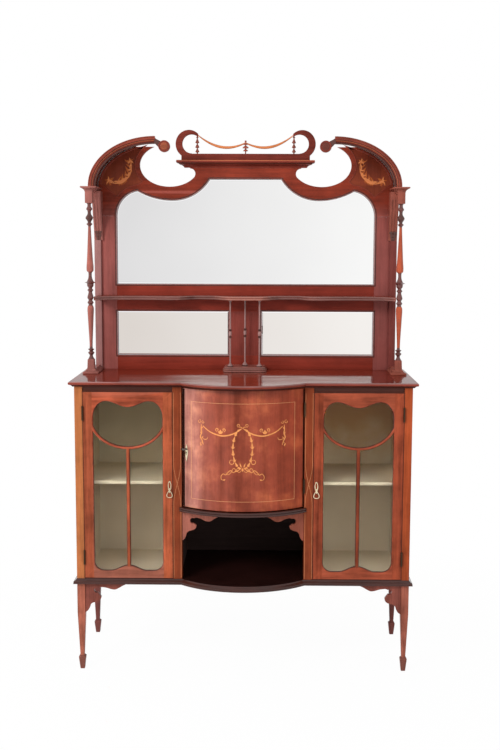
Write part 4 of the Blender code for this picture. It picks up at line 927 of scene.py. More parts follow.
def door_loops():
    """The kidney light of a door and the two lights below its curved bar."""
    half = SIGHT_HALF
    top, shoulder, lobe, dip = DOOR_TOP - 0.032, half - 0.046, 0.058, 0.021
    spring = top - lobe
    steps = 14
    valley = [(shoulder * (1 - f), top - dip * (1 - cos(pi * f)) / 2) for f in span(0, 1, steps)[1:]]
    head = [*arc(shoulder, spring, half - shoulder, lobe, 0, 90, 16), *valley]
    bowl, drop = half + 0.005, 0.105
    turned = degrees(acos(half / bowl))
    kidney = [*head, *flip(head)[1:], *arc(0, spring, bowl, drop, 180 + turned, 360 - turned, 40)]
    wide, deep = bowl + BAR_W, drop + BAR_W
    start, stop = (-degrees(acos(x / wide)) for x in (half, MULLION_W / 2))
    low, lobe_x, peak, corner = DOOR_LOW + 0.0245, half - 0.0575, 0.0195, 0.034
    foot = [(x, low + peak * (1 + cos(pi * x / lobe_x)) / 2) for x in span(MULLION_W / 2, lobe_x, steps)]
    light = [*arc(0, spring, wide, deep, start, stop, 20), *foot,
             *circle(half - corner, low + corner, corner, -90, 0, 14)]
    return [kidney, light, flip(light)]


SLIP = mm((-1, 5), (1, 6.6), (1.6, 9), (1.6, 11.8), (-1, 11.8))
BEAD = mm((-0.1, 4), (-0.1, 0), (-0.6, -0.8), (-1.4, -1), (-2.2, -0.6), (-2.6, 0.2), (-2.6, 4))


def make_side_doors():
    half, spare, reach = (DOOR_FAR - DOOR_NEAR) / 2, 0.006, SIGHT_HALF + 0.007
    wide = rectangle(-half - spare, half + spare, DOOR_LOW - spare, DOOR_TOP + spare)
    for side, word in SIDES:
        body, x = f"{word}_door", side * DOOR_X
        mesh = front(plate([wide, *door_loops()], DOOR_T, DOOR_SOFT, 5), DOOR_T / 2)
        kept = block((-half, -spare, DOOR_LOW), (half, DOOR_T + spare, DOOR_TOP), 0.0001, 1)
        rebate = block((-reach, BAR_DEPTH, DOOR_LOW + 0.0175), (reach, 2 * DOOR_T, DOOR_TOP - 0.025),
                       CRISP, 1)
        mesh = moved(carve(carve(mesh, kept, "INTERSECT"), rebate), shift(x, 0, 0))
        split_grain(mesh, x)
        woods = [DOOR_LEFT, DOOR_LEFT_RAIL] if side < 0 else [DOOR_RIGHT, DOOR_RIGHT_RAIL]
        add(f"{word}_door_joinery", mesh, woods, body, nodes=[f"{word}_door_frame"], sharp=30)
        # A dark slip round each light in the rebate: painted shadow along the sight edges.
        slips = [sweep([(x + a, z) for a, z in loop], SLIP, True) for loop in door_loops()]
        add(f"{word}_door_rebate_shadow", join(*slips), REBATE_SHADOW, body, DARK)
        border = rectangle(x - half, x + half, DOOR_LOW, DOOR_TOP)
        add(f"{word}_door_bead", sweep(border, BEAD, True), COCK_BEAD, body, DARK)
        colour_solid(f"{word}_door_glass", GLASS)


def split_grain(mesh, centre):
    """Rails and bars take the wood whose grain runs across."""
    half, foot, head = SIGHT_HALF + 0.002, DOOR_LOW + 0.046, 0.815
    shape = bmesh.new()
    shape.from_mesh(mesh)
    for hand in (-1, 1):
        bmesh.ops.bisect_plane(shape, geom=[*shape.verts, *shape.edges, *shape.faces], dist=0.00001,
                               plane_co=(centre + hand * half, 0, 0), plane_no=(1, 0, 0))
    for face in shape.faces:
        at = face.calc_center_median()
        mullion = abs(at.x - centre) < MULLION_W and foot < at.z < head
        face.material_index = 1 if abs(at.x - centre) < half and not mullion else 0
    shape.to_mesh(mesh)
    shape.free()


# Bowed door

def on_bow(x, z, rise):
    turn = asin(x / BOW_R)
    return ((BOW_R + rise) * sin(turn), BOW_Y - (BOW_R + rise) * cos(turn), z)


def inlay(path, widths, rise=0.00014, closed=False, place=on_bow):
    """A thin strip of wood of changing width, let into a face that place finds."""
    rings = []
    for (x, z), (nx, nz), w in zip(path, normals(path, closed), widths):
        a, b = (x + nx * w / 2, z + nz * w / 2), (x - nx * w / 2, z - nz * w / 2)
        rings.append([place(*a, -INLAY_SINK), place(*a, rise), place(*b, rise), place(*b, -INLAY_SINK)])
    return loft(rings, closed=closed)


def make_bow_door():
    runs = []
    for radius, xs in ((BOW_R, (BOW_LEFT, BOW_RIGHT)), (BOW_R - BOW_T, (BOW_RIGHT, BOW_LEFT))):
        start, stop = (-90 + degrees(asin(x / radius)) for x in xs)
        runs += circle(0, BOW_Y, radius, start, stop, 90)
    mesh = moved(plate([runs], BOW_TOP - BOW_LOW), shift(0, 0, (BOW_TOP + BOW_LOW) / 2))
    low, high = solid_box("centre_lock_bolt")
    mesh = carve(mesh, block(low - Vector((0.03, GAP, GAP)), high + Vector((GAP, GAP, GAP)), 0.0001, 1))
    add("bowed_door_veneer", mesh, BOW_WOOD, "bowed_door", nodes=["centre_door"])
    xs, zs = span(-STRING_X, STRING_X, 60), span(STRING_LOW, STRING_TOP, 20)
    loop = [*((x, STRING_LOW) for x in xs[:-1]), *((STRING_X, z) for z in zs[:-1]),
            *((x, STRING_TOP) for x in reversed(xs[1:])), *((-STRING_X, z) for z in reversed(zs[1:]))]
    add("bowed_door_string", inlay(loop, [STRING_W] * len(loop), closed=True), STRING, "bowed_door")
    # Near-black strips down both edges of the bowed door: painted shadow of the gaps beside it.
    edges = [inlay([(x, BOW_LOW + 0.0015), (x, BOW_TOP - 0.0015)], [wide] * 2)
             for x, wide in ((BOW_LEFT + 0.004, 0.0074), (BOW_RIGHT - 0.0024, 0.0042))]
    add("bowed_door_edging", join(*edges), PAINTED_SHADOW, "bowed_door", DARK)
    draw_marquetry()


def motif(path, widths):
    """A strip of the marquetry, in millimetres about the middle of its design."""
    return inlay([(x / 1000, MOTIF_Z + z / 1000) for x, z in path], [w / 1000 for w in widths])


def ribbon(knots, width, taper=0.35, steps=6):
    """A strip along a smooth curve, thin at its ends."""
    path = smooth(knots, steps)
    last = len(path) - 1
    return motif(path, [width * (taper + (1 - taper) * sin(pi * i / last) ** 0.7) for i in range(last + 1)])


def leaf(x, z, turn, length, width, bend=0, steps=8, least=0.06, full=0.75):
    """Rib and widths of a leaf from its foot, pointing along a turn in degrees and bending from it."""
    shares = span(0, 1, steps)
    turns = [radians(turn + bend * f) for f in shares]
    path = [(x + length * f * cos(t), z + length * f * sin(t)) for f, t in zip(shares, turns)]
    return path, [width * max(least, sin(pi * f ** full)) for f in shares]


def curl(x, z, size, start, turns, width, hand=1, wind=0.72):
    """A ribbon end that winds inwards."""
    knots = []
    for f in span(0, 1, 22):
        t = radians(start) + hand * turns * 2 * pi * f
        knots.append((x + size * (1 - wind * f) * cos(t), z + size * (1 - wind * f) * sin(t)))
    return ribbon(knots, width, 0.5, 2)


SWAG = ((2, 47), (13, 39), (36, 26.5), (64, 20), (88, 22.5), (116, 33.3), (138, 51))
TAIL = ((143, 56), (144.5, 40), (142.5, 26), (147, 12), (141, -1), (137, -15))
WAVE = ((0, -97), (12, -90.5), (22, -98), (31, -107.5), (41, -100.5), (50, -107), (58, -116.5), (67, -113),
        (74.5, -122), (73, -133), (65.5, -135.5))
LOW_WAVE = ((3, -99), (12, -106.5), (22, -99.5), (31, -92.5), (41, -108.5), (50, -115.5), (58, -108.5))


def draw_marquetry():
    """A traditional ribbon and husk design: an oval chain hung from swags, with bows and tails."""
    bits = []

    def husk(x, z, turn, length, width):
        bits.append(motif(*leaf(hand * x, z, turn if hand > 0 else 180 - turn, length, width)))

    def line(knots, width, taper=0.35):
        bits.append(ribbon(sided(knots, hand), width, taper))

    for hand in (-1, 1):
        turns = [radians(-90 + hand * turn) for turn in span(12, 168, 8)]
        chain = [(34 * cos(t), -25 + 72 * sin(t)) for t in turns]
        for (x, z), (next_x, next_z) in zip(chain, chain[1:]):
            turn, size = degrees(atan2(next_z - z, next_x - x)), hypot(next_x - x, next_z - z)
            for spur, length, width in ((0, 1.02, 5.8), (-38, 0.5, 2.6), (38, 0.5, 2.6)):
                bits.append(motif(*leaf(x, z, turn + spur, length * size, width)))
        line(SWAG, 4.8)
        bits.append(curl(hand * 13.5, 57.5, 6.2, 270, 1.1, 1.8, hand))
        line(((0, 47.3), (6, 52), (13.5, 51.5)), 2.2)
        for way in (-1, 1):
            bits.append(curl(hand * 76.5 + way * 11.5, 40.5, 6.4, 270, 1.05, 2.7, way))
            bits.append(motif(*leaf(hand * 76.5, 26.5, 90 + way * 42, 13, 5.8)))
        husk(76.5, 26.5, 90, 15, 9)
        bits.append(curl(hand * 151, 66, 6.8, 90, 1, 2, hand))
        bits.append(curl(hand * 137, 64, 5.6, 90, 1, 1.8, -hand))
        line(TAIL, 4, 0.4)
        for z, turn, length in ((40, 120, 10), (22, 62, 10), (6, 128, 12), (-12, -70, 9)):
            husk(143.5, z, turn, length, 3.2)
        line(((142.5, 10), (133, 4), (124, 6), (121, 13)), 2.1)
        line(((141, -6), (148, -12), (143, -19)), 2)
        bits.append(curl(hand * 37.5, -71, 7.8, 90, 1, 2.4, hand, 0.06))
        line(WAVE, 2.6, 0.5)
        line(LOW_WAVE, 2.1, 0.5)
        husk(10, -97.5, -25, 22, 3.6)
        husk(67, -135.5, 160, 8.5, 5.2)
        husk(4, -90, 70, 18, 4.2)
    bits.append(motif(*leaf(0, -104, 90, 14, 4.6)))
    add("bowed_door_marquetry", layered(bits, 0.000006), SATIN, "bowed_door")


# Brass

HINGES = [f"{door}_door_{level}_hinge" for door in ("left", "right", "centre")
          for level in ("upper", "lower")]


def make_hinges():
    count = 5
    for name in HINGES:
        low, high = solid_box(name)
        x, r = (low.x + high.x) / 2, (high.x - low.x) / 2
        y = low.y + r
        levels = span(low.z, high.z, count)
        knuckles = []
        for a, b in zip(levels, levels[1:]):
            knuckles += [(b - 0.0002, 0.82 * r), (b - 0.0006, 0.97 * r), (a + 0.0006, 0.97 * r),
                         (a + 0.0002, 0.82 * r)]
        barrel = lathe(sorted(knuckles, reverse=True), (x, y), 20)
        flap = block((x - 0.0005, y, low.z + 0.0003), (x + 0.0005, high.y, high.z - 0.0003), CRISP, 1)
        dress(name, "brass", join(barrel, flap), AGED_BRASS, slot="brass")


def make_pulls():
    z, plate_y = PULL_Z, -GAP - 0.0008
    drop = [(z + a, r) for a, r in mm((-3, 1.2), (-7.5, 1.3), (-9.5, 2.6), (-12.5, 1.9), (-15, 0.6))]
    for side, word in SIDES:
        x = side * PULL_X
        outer = arc(x, z + 0.009, 0.00625, 0.018, 0, 350, 35)
        slot = arc(x, z + 0.012, 0.0034, 0.0108, 0, 345, 23)
        rim = [(a, plate_y - 0.0006, b) for a, b in arc(x, z + 0.009, 0.0051, 0.0168, 0, 352.5, 47)]
        stand = [front(plate([outer, slot], 0.0016, 0.0005), plate_y), wire(rim, 0.0007, 8)]
        for hand in (-1, 1):
            near, far = sorted((x + hand * 0.0029, x + hand * 0.0044))
            stand.append(block((near, -0.0086, z - 0.0023), (far, plate_y, z + 0.0023), 0.0005))
        pin = lathe(mm((4.2, 0.6), (4, 1.1), (-4, 1.1), (-4.2, 0.6)), steps=14)
        stand.append(moved(pin, shift(x, PULL_Y, z) @ TURN_Y))
        dress(f"{word}_pull_plate", "brass", join(*stand), BRASS, f"{word}_door", "brass")
        eye = plate([circle(PULL_Y, z, radius, 0, 345, 23) for radius in (0.003, 0.0016)], 0.0052, 0.0004)
        top = z - 0.003 - 0.0004
        pear = [(x + 0.0145 * sin(t) * (0.55 - 0.45 * cos(t)), PULL_Y, top - 0.028 * (1 - cos(t)) / 2)
                for t in (2 * pi * i / 56 for i in range(56))]
        bob = lathe(smooth(drop, 5), (x, PULL_Y), 16)
        dress(f"{word}_drop_pull", "brass", join(sideways(eye, x), wire(pear, 0.0016, 14), bob), BRASS,
              f"{word}_pull", "brass")


SHIELD = mm((0, 18), (4.6, 6), (7.2, -10), (5.2, -27), (0, -46))
SHANK = mm((7.5, 2), (7, 2.4), (4.8, 2.4), (4.4, 3.1), (3.4, 3.1), (3, 2.4), (-10, 2.4), (-10.1, 2))


def make_lock():
    record = {joint["name"]: joint for joint in frame["joints"]}["key_turn"]
    x, _, z = record["pos_m"]
    face = shift(x, BOW_Y - sqrt(BOW_R ** 2 - x * x), z) @ Matrix.Rotation(asin(x / BOW_R), 4, "Z")
    shield = smooth(SHIELD, 8)
    shield = [*shield, *((-a, b) for a, b in reversed(shield[1:-1]))]
    domed = [[(k * a, -2 * GAP - out, k * (b + 0.012) - 0.012) for a, b in shield]
             for k, out in ((1, 0), (1, 0.0006), (0.94, 0.0011), (0.82, 0.0014))]
    dress("centre_escutcheon", "brass", moved(loft(domed), face), BRASS, "bowed_door", "brass")
    # The keyhole is a near-black plate in the escutcheon: painted shadow in the hole.
    hole = [*circle(0, -0.012, 0.0028, -62, 242, 24), (-0.0019, -0.0205), (0.0019, -0.0205)]
    keyhole = front(plate([hole], 0.0012, 0.0001, 0), -0.0016)
    add("centre_escutcheon_slot", moved(keyhole, face), PAINTED_SHADOW, "bowed_door", DARK)
    shank = moved(lathe(SHANK, steps=20), TURN_X)
    bow_half, lap = 0.008, 0.0024
    reach = SHANK[0][0] + bow_half - lap
    rims = [arc(0, -reach, wide, deep, 0, 354, 59)
            for wide, deep in ((0.015, bow_half), (0.012, 0.005))]
    bow = plate(rims, 0.0028, 0.001, 3)
    dress("centre_key", "brass", moved(join(shank, bow), face), IRON, "key", "brass")
    dress("centre_lock_bolt", "brass", block(*solid_box("centre_lock_bolt"), 0.0005), BRASS, "bolt", "brass")


# Mirror back

def mirror_head(grow):
    """The shaped head of the mirror from the right spring to the left, moved out by a distance."""
    lobe = circle(SIGHT_X - LOBE_R, SPRING_Z, LOBE_R + grow, 0, 80, 21)
    cusp_x, cusp_z = lobe[-1]
    valley_z = SPRING_Z + VALLEY_UP + grow
    run, rise = cusp_x - VALLEY_X, cusp_z - valley_z
    outer_r = (run * run + rise * rise) / (2 * rise)
    outer = circle(VALLEY_X, valley_z + outer_r, outer_r, -90 + degrees(asin(run / outer_r)), -90, 18)
    inner_r = HEAD_R - grow
    stop = degrees(acos((valley_z + inner_r - SPRING_Z - HEAD_UP - grow) / inner_r))
    inner = circle(VALLEY_X, valley_z + inner_r, inner_r, -90, -90 - stop, 24)
    right = [*lobe, *outer[1:], *inner[1:]]
    return [*right, *flip(right)]


def mirror_loop(grow):
    low, reach = MID_RAIL_TOP - grow, SIGHT_X + grow
    return [(-reach, low), (reach, low), *mirror_head(grow)]


SIGHT_BEAD = [(n, FRAME_Y + d) for n, d in mm((-5.6, 1.2), (-5.4, -0.4), (-4, -1.1), (-2.4, -0.6), (-1, 2),
                                              (-0.2, 6), (0.4, 13.8), (-5.6, 13.8))]


def make_mirrors():
    def show(name, loop_of, bevel, silver):
        """A mirror plate whose front slopes away round its border, and the bead that holds it."""
        rows = ((MIRROR_LAP, MIRROR_Y + MIRROR_T), (MIRROR_LAP, MIRROR_Y + 0.001), (-bevel, MIRROR_Y))
        # The sloping border takes the brighter silvering: a painted highlight along the bevel.
        mesh = loft([[(x, y, z) for x, z in loop_of(grow)] for grow, y in rows],
                    lambda k, i: 1 if k == 1 and i >= 0 else 0)
        dress(f"{name}_mirror", "plate", mesh, [silver, BEVEL_HIGHLIGHT], slot="mirror", sharp=1)
        # The bead's near-black wood stands partly for the shadow line at the rebate: painted shadow.
        add(f"{name}_mirror_bead", sweep(loop_of(0), SIGHT_BEAD, True), EDGE_WOOD, slot=DARK, sharp=50)

    def small_loop(grow):
        xs = sorted((side * (MUNTIN_W / 2 - grow), side * (SIGHT_X + grow)))
        return rectangle(*xs, LOW_RAIL_TOP - grow, MID_RAIL_LOW + grow)

    show("large", mirror_loop, 0.006, SILVER)
    for side, word in SIDES:
        show(f"{word}_small", small_loop, 0.005, SILVER_LOW)


def make_frame():
    foot, near, far = DESK_Z + GAP, FRAME_Y, FRAME_Y + FRAME_T
    for side, word in SIDES:
        stile = side_block(side, (SIGHT_X, FRAME_X), (near, far), (foot, SPRING_Z - GAP), 0.0003)
        strip = side_block(side, (FRAME_X - STRIP_W, FRAME_X), (near - STRIP_D, near + 0.004),
                           (foot, CAP_Z - CORBEL_H - GAP), 0.0014)
        woods = [FRAME_Z, STRIP_LEFT_SHEEN if side < 0 else STRIP_RIGHT]
        dress(f"{word}_frame_stile", "wood", join(stile, painted(strip, 1)), woods)
    half, post = SIGHT_X - GAP, MUNTIN_W / 2
    rails = [block((-half, near, low), (half, far, high), 0.0006)
             for low, high in ((foot, LOW_RAIL_TOP), (MID_RAIL_LOW, MID_RAIL_TOP))]
    panel = block((-post, near + 0.0002, LOW_RAIL_TOP - 0.001), (post, far, MID_RAIL_LOW + 0.001), 0.0004)
    dress("lower_frame", "wood", join(*rails, painted(panel, 1)), [FRAME_ACROSS, MUNTIN_WOOD])


def hood_arc(inset, start, stop, steps):
    return arc(HOOD_X, HOOD_Z, HOOD_RUN - inset, HOOD_RISE - inset, start, stop, steps)


def crest_outline():
    bowl = arc(-SCROLL_X, SCROLL_Z, SCROLL_W, SCROLL_H, 121, HOOK_TURN, 72)
    hook = circle(-HOOK_X, HOOK_Z, HOOK_R, -45, 90, 18)
    outer = hood_arc(CANOPY_UNDER + GAP, 0, HOOD_END, 40)
    shoulder = HOOD_Z - GAP
    right = [*flip([*bowl, *hook[1:], (-HOOK_X, CREST_TOP)]), *reversed(outer), (outer[0][0], shoulder),
             (FRAME_X, shoulder), (FRAME_X, SPRING_Z)]
    return [*right, *mirror_head(0), *flip(right)]


def spandrel_outline():
    """The sunk panel under the hood on the right."""
    head_gap, scroll_gap, hood_gap, corner = 0.021, 0.018, 0.02, (0.532, 1.7385)
    along = circle(SIGHT_X - LOBE_R, SPRING_Z, LOBE_R + head_gap, 84, 38, 12)
    scroll = arc(SCROLL_X, SCROLL_Z, SCROLL_W + scroll_gap, SCROLL_H + scroll_gap, 50, -38, 16)
    return [*along, corner, *hood_arc(hood_gap, 6, 66, 20), *scroll]


PANEL_BEAD = [(n, FRAME_Y + d) for n, d in mm((-1.7, 1.8), (-1.5, -0.1), (0, -0.9), (1.5, -0.1), (1.7, 1.8))]


def make_crest():
    outline, panel = crest_outline(), spandrel_outline()
    sunk, lap = 0.0036, 0.002
    face = plate([outline, panel, sided(panel, -1)], sunk, 0.0006)
    back = plate([outline], FRAME_T - lap, 0.0006)
    mesh = join(front(face, FRAME_Y + sunk / 2), front(back, FRAME_Y + (FRAME_T + lap) / 2))
    dress("crest_board", "wood", mesh, CREST_WOOD)
    for side, word in SIDES:
        edge = sided(panel, side)
        add(f"{word}_spandrel_panel", front(plate([edge], 0.0012, 0.0001, 0), FRAME_Y + 0.0022), PANEL_WOOD)
        add(f"{word}_spandrel_bead", sweep(edge, PANEL_BEAD, True), MOULDING)
    draw_spandrels(FRAME_Y + 0.0016)


SPRAY = ((34, 0.0175, 34), (70, 0.027, 44), (48, 0.022, -34), (86, 0.023, 30))
SPINE = mm((428.5, 1834), (427.5, 1803), (434, 1780), (448, 1762.5), (466, 1750), (490, 1748.5), (511, 1753))


def draw_spandrels(y):
    """Leafy crescents on the sunk panels: a pale stem with inner sprays, a cluster at each end."""
    spine = smooth(SPINE, 4)
    last = len(spine) - 1
    bits, shades = [], []
    for i, (x, z) in enumerate(spine):
        ahead, behind = spine[min(i + 1, last)], spine[max(i - 1, 0)]
        turn = degrees(atan2(ahead[1] - behind[1], ahead[0] - behind[0]))
        along = i / last
        if i < last:
            bits.append((x, z, turn, 0.013, 0.002 + 0.0022 * sin(pi * along), 0))
        if along < 0.72 or along > 0.88:
            lean, size, bend = SPRAY[i % 4]
            (shades if i % 2 else bits).append((x, z, turn + lean, size, 0.0058, bend))
            shades.append((x, z, turn + lean / 2, 0.75 * size, 0.003, -bend))
        if 0.46 < along < 0.72:
            bits.append((x, z, turn + 58, 0.026, 0.0062, -40))
            shades.append((x, z, turn - 42, 0.01, 0.004, -30))
    for x, z, lean, size in ((0.432, 1.829, 80, 0.014), (0.511, 1.757, 75, 0.019)):
        for k in range(-3, 4):
            (shades if k % 2 else bits).append((x, z, lean + 46 * k, size, 0.0046, 20 * k))
    for side, word in SIDES:
        for name, rows, material, depth in (("marquetry", bits, PALE_INLAY_AND_LIT_SWAG, y - 0.0004),
                                            ("marquetry_shade", shades, SATIN_RED, y + 0.0001)):
            def on_panel(x, z, rise):
                return (x, depth - rise, z)

            leaves = []
            for x, z, turn, size, wide, bend in rows:
                lean = turn if side > 0 else 180 - turn
                shape = leaf(side * x, z, lean, size, wide, side * bend, 9, 0.05, 0.8)
                leaves.append(inlay(*shape, 0.00015, place=on_panel))
            add(f"{word}_spandrel_{name}", layered(leaves, 0.000012), material)


HOOD_SECTION = mm((0, 18), (0, 3), (0.6, 1.2), (2.2, 0.4), (3.6, 0.8), (4.2, 2.4), (4.8, 2.4), (5.6, 1),
                  (7.8, 0), (10.6, 0.4), (12.6, 1.8), (13.4, 4), (14.2, 4.2), (15, 3.6), (16.6, 5),
                  (18.6, 7.6), (20.8, 9.4), (21.6, 9.8), (22.2, 8.6), (23.8, 7.6), (25.6, 8.2), (27, 9.8),
                  (27.5, 13), (27.5, 18))
# Hood bands: dark on the outer edge, grooves and underside as painted shade, the reed tone as a painted
# highlight.
HOOD_PAINTED_LIGHT = (1, 0, 0, 0, 0, 2, 2, 0, 0, 0, 1, 1, 2, 2, 0, 0, 1, 1, 1, 1, 1, 1, 1, 1)
ROUNDEL_IN = 0.0325
ROUNDEL_BACK = 0.009
ROUNDEL_DOWN = 0.036
ROUNDEL = mm((9.5, 4), (9.2, 11), (7.8, 13.5), (7.4, 16), (8.8, 18.5), (8, 20.2), (6, 21), (-9, 21),
             (-9.5, 20))
NECK = mm((3, -0.5), (-2, -9), (-20.5, -18.8), (-30, -30), (-11.8, -39.5), (0, -27.5), (3, -27.5))


def make_hoods():
    near, far, top = COLUMN_Y - BLOCK_W / 2 - CAP_LIP, FRAME_Y + FRAME_T, HOOD_Z + HOOD_RISE
    inside = near + 0.01
    for side, word in SIDES:
        lines = [[(x, near + d, z) for x, z in sided(hood_arc(n, 0, 90, 72), side)]
                 for n, d in HOOD_SECTION]
        face = loft([list(ring) for ring in zip(*lines)], lambda k, i: HOOD_PAINTED_LIGHT[i])
        skin = [*hood_arc(CANOPY_TOP, 0, HOOD_END, 56), *hood_arc(CANOPY_UNDER, HOOD_END, 0, 56)]
        canopy = front(plate([sided(skin, side)], far - inside, 0.0006), (inside + far) / 2)
        boss = lathe(ROUNDEL, steps=48, paint=lambda z, r: 3 if r < 0.0125 else 0)
        place = shift(side * (HOOD_X - ROUNDEL_IN), near + ROUNDEL_BACK, top - ROUNDEL_DOWN)
        boss = moved(boss, place @ TURN_X)
        neck = [(side * (HOOD_X + a), top + b) for a, b in NECK]
        link = front(plate([neck if side < 0 else list(reversed(neck))], 0.015, 0.001), near + 0.0105)
        dress(f"{word}_hood", "moulding", join(face, painted(link, 1), boss),
              [MOULDING, TURNED_DARK, REED_HIGHLIGHT, ROUNDEL_WOOD])
        add(f"{word}_hood_canopy", canopy, DARK_WOOD, slot=DARK)


CUT_START = 0.04
CUT_STOP = 0.066
CUT_DEPTH = 0.16
CUT_WIDTH = 0.28
CUT_SLOPE = 300
CUTS = 5


def turned_cut(z, t):
    """Crossed cuts on the ball under the capital."""
    drop = COLUMN_CAP - z
    if not CUT_START < drop < CUT_STOP:
        return 1
    depth = CUT_DEPTH * sin(pi * (drop - CUT_START) / (CUT_STOP - CUT_START))
    twist = (drop - (CUT_START + CUT_STOP) / 2) * CUT_SLOPE
    groove = sum(exp(-(sin((CUTS * t + way * twist) / 2) / CUT_WIDTH) ** 2) for way in (1, -1))
    return 1.04 - depth * min(1, groove)


BELOW_CAP = mm((-2, 10.8), (0, 10.8), (4, 7), (12, 7), (21.5, 11.2), (28, 6.8), (40, 6.6), (53, 13.4),
               (66, 6.6), (71, 6.6), (75.7, 11), (82, 5.8), (96, 5.4))
ABOUT_SHELF = mm((150, 10.4), (116, 13), (101, 12), (95, 6.6), (78, 6.6), (68, 10), (62.5, 12.8), (59, 20.4),
                 (55.5, 12.8), (46, 11.4), (38, 6.6), (31, 10.8), (23.5, 6.8), (4, 11.5), (-6, 7),
                 (-14.5, 11.3), (-22.5, 7.4), (-36.5, 11.8), (-80, 10))
ABOVE_FOOT = mm((46, 5.6), (37, 11.4), (29.5, 6.4), (23.5, 11.8), (13, 6), (0, 11.3), (-2, 11.3))
CAP_RINGS = ((0, 0.001), (0.1, 0.02), (0.25, 0.08), (0.4, 0.2), (0.55, 0.42), (0.66, 0.68), (0.72, 0.8),
             (0.73, 0.95), (0.8, 1), (0.95, 1), (1, 0.97))
PLINTH_RINGS = ((0, 0.97), (0.04, 1), (0.32, 1), (0.38, 0.94), (0.4, 0.84), (0.5, 0.62), (0.64, 0.4),
                (0.8, 0.25), (1, 0.15))
FOOT_RINGS = ((0, 1), (0.08, 1), (0.2, 0.98), (0.45, 0.95), (0.75, 0.93), (0.9, 0.91), (1, 0.86))


def column_tone(z, r):
    """Darkest in the carved stretch under the capital, dark on the other beads, light on the long vases."""
    drop = COLUMN_CAP - z
    if 0.03 < drop < 0.072:
        return 1
    beads = drop < 0.084 or COLUMN_LEVEL - 0.026 < z < COLUMN_LEVEL + 0.097 or z < COLUMN_FOOT + 0.044
    return 3 if beads else 0


def make_columns():
    half, back, block_top = BLOCK_W / 2, FRAME_Y - GAP, CAP_Z + 0.008
    profile = smooth([*((COLUMN_CAP - d, r) for d, r in BELOW_CAP),
                      *((COLUMN_LEVEL + d, r) for d, r in ABOUT_SHELF),
                      *((COLUMN_FOOT + d, r) for d, r in ABOVE_FOOT)], 6)
    low, out, nib = CAP_Z - CORBEL_H, back - CORBEL_D, back - 0.01
    curve = smooth([(out, CAP_Z - 0.0172), (out + 0.0203, CAP_Z - 0.0774), (nib - 0.004, low + 0.031),
                    (nib, low)], 8)
    corbel_side = [(back, block_top), (out, block_top), *curve, (back, low)]

    def slab(rows, z, high, behind):
        """A square slab whose front and sides swell out by shares of the lip."""
        rings = []
        for f, k in rows:
            reach, level = half + CAP_LIP * k, z + high * f
            rings.append(soft_rectangle(x - reach, x + reach, COLUMN_Y - reach, behind, level, 0.0008, 2))
        return loft(rings)

    for side, word in SIDES:
        pale_wood, vase_wood = (PALE_LEFT, TURNED_LEFT) if side < 0 else (PALE_RIGHT, TURNED_RIGHT)
        x, corbel_x = side * COLUMN_X, side * (FRAME_X - CORBEL_W / 2)
        shaft = lathe(profile, (x, COLUMN_Y), 40, turned_cut, column_tone)
        foot = loft([soft_square(x, COLUMN_Y, PLINTH_TOP + GAP + FOOT_H * f, half * k, 0.0012)
                     for f, k in FOOT_RINGS])
        cap_block = block((x - half, COLUMN_Y - half, COLUMN_CAP), (x + half, COLUMN_Y + half, block_top))
        corbel = sideways(plate([corbel_side], CORBEL_W), corbel_x)
        ridges = [wire([(corbel_x + across, a + 0.0008, b) for a, b in curve[:-8]], 0.0028, 10, False,
                       (1, 0, 0)) for across in (-0.0105, 0, 0.0105)]
        toe = [block((corbel_x - w, back - d, low + a), (corbel_x + w, back, low + b), 0.001)
               for w, d, a, b in mm((7.5, 12, 0, 12), (10, 14.5, 12, 26), (13, 17.5, 26, 34))]
        cap = slab(CAP_RINGS, CAP_Z, CAP_H, back)
        pale = [painted(part, 2) for part in (foot, cap_block, cap, corbel, *ridges)]
        dress(f"{word}_column", "turned", join(shaft, *pale, *(painted(part, 1) for part in toe)),
              [vase_wood, TURNED_DARK, pale_wood, TURNED_BEAD])
        plinth = slab(PLINTH_RINGS, DESK_Z + GAP, 0.017, FRAME_Y - STRIP_D - GAP)
        dress(f"{word}_plinth", "wood", plinth, pale_wood)


SHELF_FRONT = ((0, COLUMN_Y), (0.13, 0.28), (0.34, 0.288), (0.58, 0.274), (0.66, 0.29), (0.73, 0.33),
               (0.86, 0.326), (0.94, 0.286), (1, 0.266))


def make_shelf():
    end = COLUMN_X - 0.01155 - GAP
    strip_x, strip_y = FRAME_X - STRIP_W - GAP, FRAME_Y - STRIP_D - GAP
    curve = smooth([*((-end + f * (end - SPINDLE_X), y) for f, y in SHELF_FRONT), (0, 0.262)], 10)
    curve = [*curve, *flip(curve)[1:]]
    left = [(-strip_x, FRAME_Y - GAP), (-strip_x, strip_y), (-end, strip_y)]
    inner = offset(curve, 0.0026)
    inner[0], inner[-1] = (-end, inner[0][1]), (end, inner[-1][1])
    board = moved(plate([[*left, *inner, *flip(left)]], SHELF_T - 0.0006, 0.001), shift(0, 0, COLUMN_LEVEL))
    radius = 0.0037
    line = offset(curve, radius)[1:-1]
    reeds = [wire([(x, y, SHELF_Z + up) for x, y in line], radius, 14, False, (0, 0, 1))
             for up in (0.0038, 0.0112)]
    # The reeds carry a painted highlight in the middle.
    dress("display_shelf", "reeded", join(board, *(painted(reed, 1) for reed in reeds)),
          [MOULDING, SHELF_REED])


